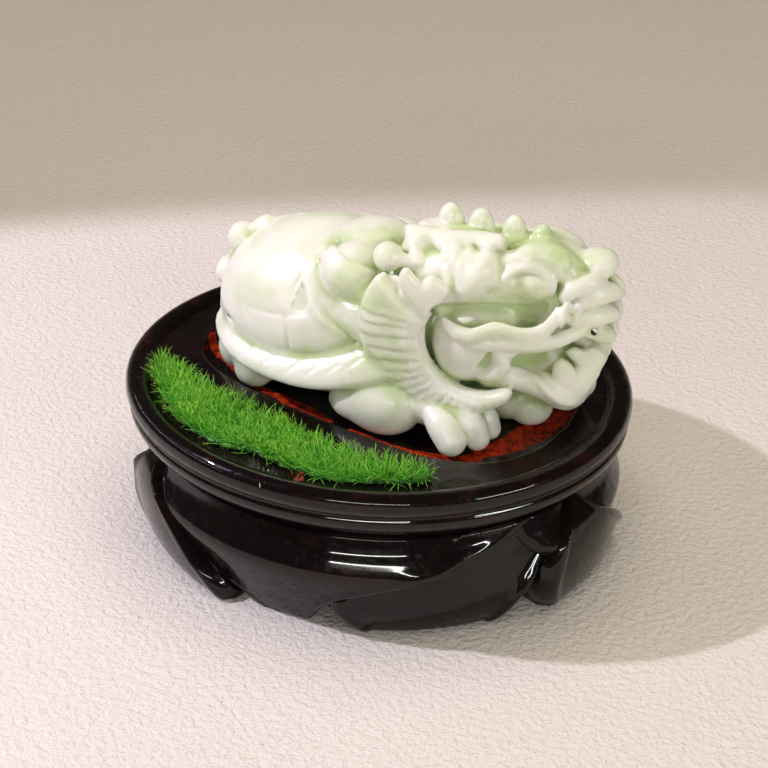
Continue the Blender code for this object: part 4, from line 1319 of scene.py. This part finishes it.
        # upright leaves at the end of the moustache
        stone.patch(((32.0, -11.2, 29.4), (31.4, -11.7, 32.5), (32.0, -10.9, 35.0), (33.4, -9.9, 36.0),
                     (34.7, -9.5, 34.7), (33.9, -9.4, 31.2), (32.9, -10.4, 29.5)), 1.2, 1.2)
        stone.patch(((34.5, -9.7, 35.2), (35.8, -8.7, 35.9), (36.9, -8.7, 34.6), (36.5, -9.3, 32.6),
                     (34.6, -8.6, 30.6)), 1.0, 0.9)
        stone.rope(((2.9, -17.2, 29.4, 0.9), (3.3, -18.0, 26.9, 1.2), (4.5, -18.4, 22.4, 1.2),
                    (6.9, -18.5, 18.7, 1.2), (10.8, -18.4, 16.0, 1.2), (15.3, -17.8, 15.0, 1.1),
                    (20.1, -17.0, 15.7, 0.7)), both=True, cut=True, blend=0.5, steps=3)
        stone.rope(((39.83, -12.0, 30.56, 0.85), (34.31, 20.0, 12.98, 0.85)), cut=True, blend=0.3, steps=2)

    def soles(self, stone: Stone) -> None:
        """Flatten the soles at the recess floor."""
        stone.shape((-60.0, -40.0, -3.0), (70.0, 40.0, 0.0), lambda x, y, z: z + 0.0 * x, blend=0.3, cut=True)


# stand


@dataclass
class StandTop:
    """Moulded oval top with the egg-shaped recess.

    A row of the profile is a share of the oval and of the rim's depth below the highest ridge. The recess is
    the near half of its edge in millimetres. A row of the wall is a step inward from that edge and a rise
    above the floor, both in millimetres. A strip of red paint is x, y and half width in millimetres.
    """

    length: float = 0.122
    width: float = 0.110
    height: float = 0.040
    rim_depth: float = 0.0154
    lip_height: float = 0.002
    recess_depth: float = 0.003
    lip_foot: float = 0.906
    columns: int = 320
    floor_shares: tuple[float, ...] = (
        0.04, 0.2, 0.36, 0.48, 0.57, 0.64, 0.70, 0.75, 0.79, 0.83, 0.86, 0.89, 0.92,
    )
    wall: Rows = (
        (1.6, 0.0), (0.9, 0.05), (0.45, 0.22), (0.2, 0.6), (0.1, 1.4), (0.05, 2.2), (-0.1, 2.7),
        (-0.5, 2.95), (-1.0, 3.0),
    )
    worn_edge: float = 1.6
    edge_round: float = 1.6
    flat_rings: int = 7
    flat_end: float = 0.94
    under_shares: tuple[float, ...] = (0.6, 0.1)
    profile: Rows = (
        (0.902, 0.128), (0.916, 0.065), (0.932, 0.019), (0.958, 0.0), (0.982, 0.032), (0.997, 0.110),
        (1.0, 0.221), (0.990, 0.305), (0.983, 0.364), (0.991, 0.442), (0.984, 0.552), (0.964, 0.636),
        (0.932, 0.675), (0.902, 0.766), (0.884, 0.896), (0.880, 1.0),
    )
    recess: Rows = (
        (-46.0, 0.0), (-43.4, -7.6), (-36.6, -13.6), (-28.0, -17.2), (-16.0, -20.4), (0.8, -23.6),
        (14.0, -25.6), (24.0, -26.6), (33.0, -25.2), (41.0, -20.8), (46.4, -12.0), (48.4, 0.0),
    )
    strips: tuple[Rows, ...] = (
        ((-49.8, 3.5, 1.0), (-44.8, -0.8, 1.2), (-39.0, -4.7, 1.1), (-32.5, -9.0, 1.0),
         (-25.6, -13.1, 0.9), (-20.0, -14.4, 1.0), (-14.1, -16.1, 1.3), (-8.0, -17.5, 1.3),
         (-2.3, -19.2, 0.7)),
        ((3.8, -20.9, 0.8), (9.1, -22.1, 1.2), (14.7, -23.1, 1.4), (19.6, -23.0, 1.3),
         (24.7, -22.2, 1.3), (30.3, -20.8, 1.2), (34.3, -18.3, 1.4)),
        ((34.8, -15.2, 2.2), (37.8, -10.9, 3.0), (40.0, -5.9, 3.4), (42.0, -0.0, 3.4),
         (43.6, 5.7, 3.0), (44.7, 11.4, 2.2)),
    )

    def _recess_edge(self, angles: np.ndarray) -> np.ndarray:
        """Points of the recess edge in the directions of the columns."""
        near = spline(self.recess, 8)
        outline = np.vstack([near, near[-2:0:-1] * (1.0, -1.0)])
        reach = np.interp(angles, np.arctan2(outline[:, 1], outline[:, 0]),
                          np.hypot(outline[:, 0], outline[:, 1]), period=2.0 * math.pi)
        return np.stack([np.cos(angles) * reach, np.sin(angles) * reach], axis=1) * MM

    def _paint(self, points: np.ndarray) -> np.ndarray:
        """Share of red paint at points of the top, 1 in the middle of a strip."""
        spread = np.full(len(points), FAR_AWAY)
        for rows in self.strips:
            path = spline(rows, 3)
            for start, end in zip(path, path[1:]):
                away, run = points[:, :2] / MM - start[:2], end[:2] - start[:2]
                share = np.clip(away @ run / (run @ run), 0.0, 1.0)
                width = start[2] + share * (end[2] - start[2])
                spread = np.minimum(spread, np.linalg.norm(away - share[:, None] * run, axis=1) - width)
        inside = points[:, 2] < self.height - self.lip_height - 0.05 * MM
        return np.clip(0.5 - spread / self.worn_edge, 0.0, 1.0) * inside

    def build(self) -> bpy.types.Object:
        """Turn the profile round the oval and sink the recess.

        Returns:
            The finished object.
        """
        turn = np.linspace(0.0, 2.0 * math.pi, self.columns, endpoint=False)
        oval = np.stack([np.cos(turn) * self.length, np.sin(turn) * self.width], axis=1) / 2.0
        edge = self._recess_edge(np.arctan2(oval[:, 1], oval[:, 0]))
        top = self.height - self.lip_height
        floor = top - self.recess_depth
        inward = edge / np.linalg.norm(edge, axis=1, keepdims=True)
        rings = [(edge * share, floor) for share in self.floor_shares]
        rings += [(edge - inward * step * MM, floor + rise * MM) for step, rise in self.wall]
        foot = oval * self.lip_foot
        begin = edge + inward * self.edge_round * MM
        for share in np.linspace(0.0, self.flat_end, self.flat_rings):
            rings.append((begin * (1.0 - share) + foot * share, top))
        for share, drop in spline(self.profile, 6):
            rings.append((oval * share, self.height - drop * self.rim_depth))
        rings += [(oval * share, self.height - self.rim_depth) for share in self.under_shares]
        solid = [np.column_stack([ring, np.full(len(turn), level)]) for ring, level in rings]
        mesh = closed_grid("stand_top", solid, Ends.POLES)
        point_attribute(mesh, "paint", self._paint(places(mesh)))
        mesh.materials.append(Lacquer(painted=True).make())
        return new_object("stand_top", mesh)


@dataclass
class StandSkirt:
    """Skirt of the stand: an apron, a long swept leaf and a short leaf, three times round.

    A row of a leaf is its drawn height, its left and right edge in degrees, and its reach as a share of the
    oval.
    """

    length: float = 0.122
    width: float = 0.110
    top: float = 0.026
    inner: float = 0.76
    arch: float = 0.0095
    drawn: float = 26.0
    ring_reach: float = 0.880
    columns: int = 57
    rolls: tuple[float, float] = (0.07, 0.93)
    roll_width: float = 0.045
    edge_drop: float = 0.030
    edge_width: float = 0.022
    foot_drop: float = 0.012
    foot_round: float = 0.0008
    limit: float = 0.995
    turns: tuple[float, ...] = (0.0, -124.0, 118.0)
    apron: Rows = (
        (0.0, -95.6, -82.0, 0.862), (1.5, -97.0, -81.5, 0.872), (4.5, -103.0, -79.0, 0.892),
        (7.5, -112.0, -75.5, 0.912), (10.5, -127.0, -69.5, 0.932), (13.5, -138.0, -61.5, 0.950),
        (16.0, -142.0, -54.0, 0.962), (18.0, -145.0, -48.0, 0.962), (20.5, -147.0, -41.0, 0.940),
        (23.0, -149.0, -29.0, 0.914), (26.0, -150.0, -20.0, 0.892),
    )
    long_leaf: Rows = (
        (0.0, -71.0, -33.4, 0.880), (1.5, -72.0, -32.0, 0.892), (4.0, -75.0, -30.0, 0.912),
        (7.0, -77.0, -27.5, 0.926), (10.0, -76.0, -24.0, 0.926), (13.0, -72.0, -21.0, 0.912),
        (16.0, -66.0, -18.0, 0.900), (19.0, -60.0, -14.0, 0.896), (22.0, -54.0, -10.0, 0.892),
        (26.0, -48.0, -6.0, 0.886),
    )
    short_leaf: Rows = (
        (0.0, -22.0, 21.0, 0.930), (1.5, -22.5, 21.0, 0.940), (4.0, -24.0, 20.0, 0.958),
        (7.0, -25.0, 17.5, 0.972), (10.0, -25.0, 13.5, 0.982), (13.0, -24.0, 9.5, 0.986),
        (16.0, -22.5, 5.0, 0.986), (19.0, -20.5, 0.5, 0.978), (22.0, -17.5, -5.0, 0.956),
        (26.0, -13.0, -9.0, 0.900),
    )

    def _on_oval(self, angle: np.ndarray, share: np.ndarray | float, height: float) -> np.ndarray:
        """Points of the oval at angles in degrees, shares of its reach and a height."""
        turn = np.radians(angle)
        return np.stack([np.cos(turn) * share * self.length / 2.0, np.sin(turn) * share * self.width / 2.0,
                         np.full(np.shape(turn), height)], axis=-1)

    def _leaf(self, name: str, rows: Rows, turn: float, crown: float, roll: float) -> bpy.types.Mesh:
        """Loft one leaf or apron.

        Args:
            name: Name of the mesh.
            rows: Height, left edge, right edge and reach.
            turn: Degrees round the oval.
            crown: How far the middle stands out past the edges.
            roll: How far the rolled edge stands out.

        Returns:
            The closed mesh.
        """
        across = np.linspace(0.0, 1.0, self.columns)
        swell = crown * (1.0 - (2.0 * across - 1.0) ** 4)
        for middle in self.rolls:
            swell = swell + roll * np.exp(-((across - middle) / self.roll_width) ** 2)
        inset = np.minimum(across, 1.0 - across)
        swell = swell - self.edge_drop * np.exp(-(inset / self.edge_width) ** 2)
        rings = []
        for row, left, right, reach in spline(rows, 6):
            height = row / self.drawn * self.top
            soften = self.foot_drop * math.exp(-height / self.foot_round)
            angle = left + (right - left) * across + turn
            front = self._on_oval(angle, np.minimum(reach + swell - soften, self.limit), height)
            rings.append(np.vstack([front, self._on_oval(angle[::-1], self.inner, height)]))
        return closed_grid(name, rings)

    def _ring(self) -> bpy.types.Mesh:
        """Plain ring behind the leaves, which spans the arches between the feet."""
        angle = np.arange(0.0, 360.0, 2.0)
        section = [(self.inner, self.arch), (0.820, self.arch - 0.0002), (0.862, self.arch),
                   (0.872, self.arch + 0.0006), (self.ring_reach, self.top), (self.inner, self.top)]
        columns = [self._on_oval(angle, share, height) for share, height in section]
        return closed_grid("skirt_ring", columns, Ends.JOINED)

    def build(self) -> list[bpy.types.Object]:
        """Make the ring and the leaves.

        Returns:
            The finished objects.
        """
        lacquer = Lacquer().make()
        meshes = [self._ring()]
        leaves = (("long_leaf", self.long_leaf, 0.003, 0.018), ("apron", self.apron, 0.006, 0.006),
                  ("short_leaf", self.short_leaf, 0.003, 0.016))
        for number, turn in enumerate(self.turns, 1):
            meshes += [self._leaf(f"{name}_{number}", rows, turn, crown, roll)
                       for name, rows, crown, roll in leaves]
        for mesh in meshes:
            mesh.materials.append(lacquer)
        return [new_object(mesh.name, mesh) for mesh in meshes]


# grass


@dataclass
class Grass:
    """Crescent of artificial grass: a thin mat and thousands of fibres.

    A station is x, y and half width in millimetres. The bare spot is x, y and radius in metres. A share of a
    blade is a share of its length and of its width.
    """

    base: float = 0.0383
    mat_height: float = 0.0009
    blade_length: float = 0.0046
    blade_width: float = 0.00025
    blade_shares: Rows = ((0.0, 1.0), (0.40, 0.85), (0.75, 0.55), (1.0, 0.06))
    bends: tuple[float, ...] = (0.05, 0.30, 0.60)
    tilt: float = 0.62
    sizes: tuple[float, float] = (0.62, 1.12)
    clump_scale: float = 420.0
    clump_lean: float = 2.0
    mat_inset: float = 0.9
    mat_square: float = 0.4
    ragged: tuple[float, float] = (-0.10, 0.06)
    density: float = 5.4e6
    thinnest: float = 0.22
    bare: Triple = (-0.0202, -0.0446, 0.0075)
    seed: int = 11
    stations: Rows = (
        (-49.6, -17.8, 0.8), (-47.2, -19.6, 2.2), (-43.5, -22.8, 4.0), (-36.3, -28.2, 5.7),
        (-27.5, -32.8, 7.8), (-17.5, -36.6, 8.6), (-6.5, -37.8, 7.2), (5.0, -40.6, 6.4),
        (14.0, -40.0, 5.6), (23.0, -37.8, 4.4), (29.4, -36.0, 2.6), (31.6, -35.6, 0.7),
    )

    def _mat(self) -> bpy.types.Mesh:
        """Thin mat with a ragged edge."""
        path = spline(self.stations, 6)
        ahead = np.gradient(path[:, :2], axis=0)
        ahead /= np.linalg.norm(ahead, axis=1, keepdims=True)
        across = np.stack([ahead[:, 1], -ahead[:, 0]], axis=1)
        chance = np.random.default_rng(self.seed)
        rings = []
        for (x, y, half), side in zip(path, across):
            ring = []
            ragged = 1.0 + chance.uniform(*self.ragged, 2)
            for corner in range(9):
                angle = math.pi * corner / 8.0
                out = math.copysign(abs(math.cos(angle)) ** self.mat_square, math.cos(angle))
                out *= half - self.mat_inset
                out *= ragged[int(out > 0.0)]
                ring.append(((x + side[0] * out) * MM, (y + side[1] * out) * MM,
                             self.base + self.mat_height * math.sin(angle) ** self.mat_square))
            rings.append(np.array(ring))
        return closed_grid("grass_mat", rings)

    def _blade(self, name: str, lean: float) -> bpy.types.Object:
        """One tapered fibre of unit length, bent by lean."""
        rings = []
        turn = np.radians((0.0, 120.0, 240.0))
        for share, width in self.blade_shares:
            middle = np.array((lean * share ** 2, 0.0, share * (1.0 - 0.25 * lean * share)))
            half = width * self.blade_width / self.blade_length / 2.0
            rings.append(middle + half * np.stack([np.cos(turn), np.sin(turn), 0.0 * turn], axis=1))
        mesh = closed_grid(name, rings)
        point_attribute(mesh, "tip", np.repeat([share for share, _ in self.blade_shares], len(turn)))
        return new_object(name, mesh)

    def _tree(self, material: bpy.types.Material) -> tuple[bpy.types.NodeTree, dict[str, str]]:
        """Node tree that plants fibres on a mat.

        Args:
            material: Finish of the fibres.

        Returns:
            The tree and the identifiers of its named inputs.
        """
        tree = bpy.data.node_groups.new("planted_fibres", "GeometryNodeTree")
        names = {}
        for label, kind in (("Mat", "NodeSocketGeometry"), ("Density", "NodeSocketFloat"),
                            ("Length", "NodeSocketFloat"), ("Tilt", "NodeSocketFloat"),
                            ("Seed", "NodeSocketInt"), ("Straight", "NodeSocketObject"),
                            ("Bent", "NodeSocketObject"), ("Curled", "NodeSocketObject")):
            names[label] = tree.interface.new_socket(label, in_out="INPUT", socket_type=kind).identifier
        tree.interface.new_socket("Fibres", in_out="OUTPUT", socket_type="NodeSocketGeometry")

        node = partial(add_node, tree)
        given = node("NodeGroupInput").outputs
        normal = node("GeometryNodeInputNormal")
        rise = node("ShaderNodeSeparateXYZ", {}, {0: normal.outputs[0]})
        upward = node("FunctionNodeCompare", {"operation": "GREATER_THAN"}, {0: rise.outputs[2], 1: 0.1})
        thick = node("GeometryNodeInputNamedAttribute", {"data_type": "FLOAT"}, {"Name": "thick"})
        density = node("ShaderNodeMath", {"operation": "MULTIPLY"},
                       {0: given["Density"], 1: thick.outputs[0]})
        points = node("GeometryNodeDistributePointsOnFaces", {}, {
            "Mesh": given["Mat"], "Selection": upward.outputs[0], "Density": density.outputs[0],
            "Seed": given["Seed"]})
        kinds = node("GeometryNodeGeometryToInstance")
        for label in ("Curled", "Bent", "Straight"):
            info = node("GeometryNodeObjectInfo", {}, {"Object": given[label]})
            tree.links.new(info.outputs["Geometry"], kinds.inputs[0])
        tilt = node("ShaderNodeMath", {"operation": "MULTIPLY"}, {0: given["Tilt"], 1: -1.0})
        low = node("ShaderNodeCombineXYZ", {}, {0: tilt.outputs[0], 1: tilt.outputs[0]})
        high = node("ShaderNodeCombineXYZ", {}, {0: given["Tilt"], 1: given["Tilt"], 2: 2.0 * math.pi})
        turn = node("FunctionNodeRandomValue", {"data_type": "FLOAT_VECTOR"}, {
            0: low.outputs[0], 1: high.outputs[0], "Seed": given["Seed"]})
        clump = node("ShaderNodeTexNoise", {}, {"Scale": self.clump_scale, "Detail": 1.0})
        reach = self.clump_lean
        lean = node("ShaderNodeVectorMath", {"operation": "MULTIPLY_ADD"}, {
            0: clump.outputs["Color"], 1: (2.0 * reach, 2.0 * reach, 0.0), 2: (-reach, -reach, 0.0)})
        turned = node("ShaderNodeVectorMath", {"operation": "ADD"}, {0: turn.outputs[0], 1: lean.outputs[0]})
        pick = node("FunctionNodeRandomValue", {"data_type": "INT"}, {4: 0, 5: 2, "Seed": given["Seed"]})
        grown = node("FunctionNodeRandomValue", {"data_type": "FLOAT"}, {
            2: self.sizes[0], 3: self.sizes[1], "Seed": given["Seed"]})
        size = node("ShaderNodeMath", {"operation": "MULTIPLY"}, {0: grown.outputs[1], 1: given["Length"]})
        planted = node("GeometryNodeInstanceOnPoints", {}, {
            "Points": points.outputs[0], "Instance": kinds.outputs[0], "Pick Instance": True,
            "Instance Index": pick.outputs[2], "Rotation": turned.outputs[0], "Scale": size.outputs[0]})
        real = node("GeometryNodeRealizeInstances", {}, {0: planted.outputs[0]})
        dressed = node("GeometryNodeSetMaterial", {}, {"Geometry": real.outputs[0], "Material": material})
        node("NodeGroupOutput", {}, {0: dressed.outputs[0]})
        return tree, names

    def build(self) -> list[bpy.types.Object]:
        """Make the mat and plant it.

        Returns:
            The mat and the fibres.
        """
        finish = GrassPlastic().make()
        mat = new_object("grass_mat", self._mat())
        mat.data.materials.append(finish)
        # the mat takes the dark root colour, painted shade under the fibres
        point_attribute(mat.data, "tip", np.zeros(len(mat.data.vertices)))
        far = np.linalg.norm(places(mat.data)[:, :2] - self.bare[:2], axis=1) / self.bare[2]
        point_attribute(mat.data, "thick", np.clip(far ** 2, self.thinnest, 1.0))
        blades = [self._blade(f"blade_{number}", lean) for number, lean in enumerate(self.bends, 1)]
        tree, names = self._tree(finish)
        field = new_object("grass_field", mat.data)
        planting = field.modifiers.new("planting", "NODES")
        planting.node_group = tree
        for label, value in (("Density", self.density), ("Length", self.blade_length), ("Tilt", self.tilt),
                             ("Seed", self.seed), ("Straight", blades[0]), ("Bent", blades[1]),
                             ("Curled", blades[2])):
            planting[names[label]] = value
        field.update_tag()
        graph = bpy.context.evaluated_depsgraph_get()
        mesh = bpy.data.meshes.new_from_object(field.evaluated_get(graph), depsgraph=graph)
        mesh.name = "grass_fibres"
        for helper in (*blades, field):
            bpy.data.objects.remove(helper, do_unlink=True)
        return [mat, new_object("grass_fibres", mesh)]


# surroundings


@dataclass
class Strays:
    """A crumb of red-brown dirt and a pale fibre that lie on the stand's top."""

    crumb: Triple = (0.0061, -0.0482, 0.0386)
    fibre: Rows = ((-0.0043, -0.0510, 0.0385), (-0.0013, -0.0531, 0.0393), (0.0002, -0.0553, 0.0388))
    fibre_radius: float = 0.00009
    lumps: int = 9
    spread: float = 0.0007
    pile: float = 0.0005
    lump_radii: tuple[float, float] = (0.0003, 0.0006)
    roughness: tuple[float, float] = (0.8, 1.15)
    seed: int = 5

    def build(self) -> list[bpy.types.Object]:
        """Make both bits.

        Returns:
            The finished objects.
        """
        made = bmesh.new()
        chance = np.random.default_rng(self.seed)
        for _ in range(self.lumps):
            aside, above = chance.normal(0.0, self.spread, 2), chance.uniform(0.0, self.pile)
            shift = Vector(self.crumb) + Vector((*aside, above))
            radius = float(chance.uniform(*self.lump_radii))
            lump = bmesh.ops.create_icosphere(made, subdivisions=2, radius=radius)
            for vertex in lump["verts"]:
                vertex.co = vertex.co * float(chance.uniform(*self.roughness)) + shift
        mesh = finished("crumb", made, smooth=False)
        mesh.materials.append(Crumb().make())
        turn = np.radians((0.0, 90.0, 180.0, 270.0))
        section = self.fibre_radius * np.stack([np.cos(turn), 0.3 * np.sin(turn), np.sin(turn)], axis=1)
        thread = closed_grid("stray_fibre", [place + section for place in spline(self.fibre, 8)])
        thread.materials.append(Crumb("pale_fibre", (0.55, 0.55, 0.50), (0.75, 0.75, 0.70)).make())
        return [new_object("crumb", mesh), new_object("stray_fibre", thread)]


@dataclass
class Studio:
    """Floor, light and camera."""

    azimuth: float = 27.0
    elevation: float = 30.2
    distance: float = 0.450
    focal_pixels: float = 1890.0
    picture: int = 768
    aim: Triple = (0.0, 0.0, 0.034)
    aim_pixel: tuple[float, float] = (377.0, 390.0)
    floor_half: float = 2.5
    floor_ends: tuple[float, float] = (-1.2, 1.0)
    floor_bend: float = 0.5
    floor_steps: int = 16
    sky: Colour = (1.0, 0.93, 0.80)
    sky_strength: float = 0.05

    def floor(self) -> bpy.types.Object:
        """Make the pale sheet that turns up far behind the object.

        Returns:
            The sheet.
        """
        front, back = self.floor_ends
        bends = np.linspace(0.0, math.pi / 2.0, self.floor_steps + 1)
        path = [(y, 0.0) for y in np.linspace(front, back, self.floor_steps, endpoint=False)]
        path += [(back + self.floor_bend * math.sin(bend), self.floor_bend * (1.0 - math.cos(bend)))
                 for bend in bends]
        made = bmesh.new()
        rows = [[made.verts.new((x, y, z)) for x in (-self.floor_half, self.floor_half)] for y, z in path]
        for low, high in zip(rows, rows[1:]):
            made.faces.new((low[0], low[1], high[1], high[0]))
        mesh = finished("floor", made)
        mesh.materials.append(Paper().make())
        mesh.transform(Matrix.Rotation(math.radians(self.azimuth), 4, "Z"))
        return new_object("floor", mesh)

    def lamp(self, name: str, kind: Lamp, place: Sequence[float], energy: float, size: Sequence[float],
             colour: Colour, aim: Sequence[float] = (0.0, 0.0, 0.04), mirrored: bool = True) -> None:
        """Add a light that faces a point.

        Args:
            name: Name of the light.
            kind: Soft panel, or beam with a round edge.
            place: Where it stands.
            energy: Watts.
            size: Width and height of a panel, or radius and full angle in degrees of a beam.
            colour: Its tint.
            aim: The point.
            mirrored: True if glossy surfaces show it.
        """
        lamp = bpy.data.lights.new(name, kind.value)
        lamp.energy = energy
        lamp.color = colour
        if kind is Lamp.BEAM:
            lamp.shadow_soft_size = size[0]
            lamp.spot_size = math.radians(size[1])
            lamp.spot_blend = 0.07
        else:
            lamp.shape = "RECTANGLE"
            lamp.size, lamp.size_y = size
        made = bpy.data.objects.new(name, lamp)
        made.location = place
        made.rotation_euler = (Vector(aim) - Vector(place)).to_track_quat("-Z", "Y").to_euler()
        made.visible_glossy = mirrored
        bpy.context.scene.collection.objects.link(made)

    def lights(self) -> None:
        """Cool beam from the left, warm light from above, a weak fill and three strips that gloss mirrors."""
        self.lamp("key_beam", Lamp.BEAM, (-0.447, -0.230, 0.487), 13.2, (0.012, 87.0), (0.88, 0.84, 1.0),
                  (0.079, -0.342, 0.0))
        self.lamp("overhead", Lamp.PANEL, (0.05, 0.10, 1.20), 9.8, (1.1, 1.1), (1.0, 0.93, 0.74),
                  mirrored=False)
        self.lamp("fill", Lamp.PANEL, (0.66, -0.64, 0.56), 0.5, (0.6, 0.5), (1.0, 0.97, 0.88),
                  mirrored=False)
        self.lamp("front_strip", Lamp.PANEL, (0.204, -0.713, 0.300), 1.25, (0.42, 0.012), (1.0, 1.0, 0.94))
        self.lamp("right_strip", Lamp.PANEL, (0.715, -0.232, 0.274), 1.35, (0.36, 0.020), (0.95, 1.0, 0.96))
        self.lamp("left_strip", Lamp.PANEL, (-0.700, -0.188, 0.338), 0.50, (0.90, 0.006), (0.90, 0.88, 1.0))
        world = bpy.data.worlds.new("studio")
        world.use_nodes = True
        world.node_tree.nodes["Background"].inputs[0].default_value = (*self.sky, 1.0)
        world.node_tree.nodes["Background"].inputs[1].default_value = self.sky_strength
        bpy.context.scene.world = world
        bpy.context.scene.view_settings.view_transform = "Standard"

    def camera(self) -> None:
        """Camera at the viewing angle of the photograph."""
        turn, rise = math.radians(self.azimuth), math.radians(self.elevation)
        back = Vector((math.sin(turn) * math.cos(rise), -math.cos(turn) * math.cos(rise), math.sin(rise)))
        right = Vector((math.cos(turn), math.sin(turn), 0.0))
        up = back.cross(right)
        half = self.picture / 2.0
        scale = self.distance / self.focal_pixels
        target = (Vector(self.aim) + right * (half - self.aim_pixel[0]) * scale
                  + up * (self.aim_pixel[1] - half) * scale)
        lens = bpy.data.cameras.new("camera")
        lens.sensor_width = 36.0
        lens.angle = 2.0 * math.atan(half / self.focal_pixels)
        lens.clip_start = 0.01
        made = bpy.data.objects.new("camera", lens)
        pose = Matrix((right, up, back)).transposed().to_4x4()
        pose.translation = target + back * self.distance
        made.matrix_world = pose
        bpy.context.scene.collection.objects.link(made)
        bpy.context.scene.camera = made


def declare(piece: bpy.types.Object, node: str | None) -> None:
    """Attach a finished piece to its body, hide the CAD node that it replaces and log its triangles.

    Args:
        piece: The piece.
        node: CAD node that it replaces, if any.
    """
    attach(piece, BODY)
    if node:
        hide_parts(node)
    faces = sum(len(face.vertices) - 2 for face in piece.data.polygons)
    LOG.info("%s: %d triangles", piece.name, faces)


def main() -> None:
    """Build and place every piece."""
    logging.basicConfig(level=logging.INFO, format="%(name)s %(message)s")
    for thing in [o for o in bpy.data.objects if o not in list(frame["nodes"].values())
                  and o not in list(frame["bodies"].values())]:
        bpy.data.objects.remove(thing, do_unlink=True)
    studio = Studio()
    studio.camera()
    studio.lights()
    studio.floor()
    fineness = Fineness.CLOSE
    declare(Carving(fineness=fineness).build(), "dragon_turtle")
    declare(StandTop().build(), "stand")
    for piece in StandSkirt().build():
        declare(piece, "stand")
    for piece in Grass().build():
        declare(piece, "grass_patch")
    for piece in Strays().build():
        declare(piece, "grass_patch")


if __name__ == "__main__":
    main()
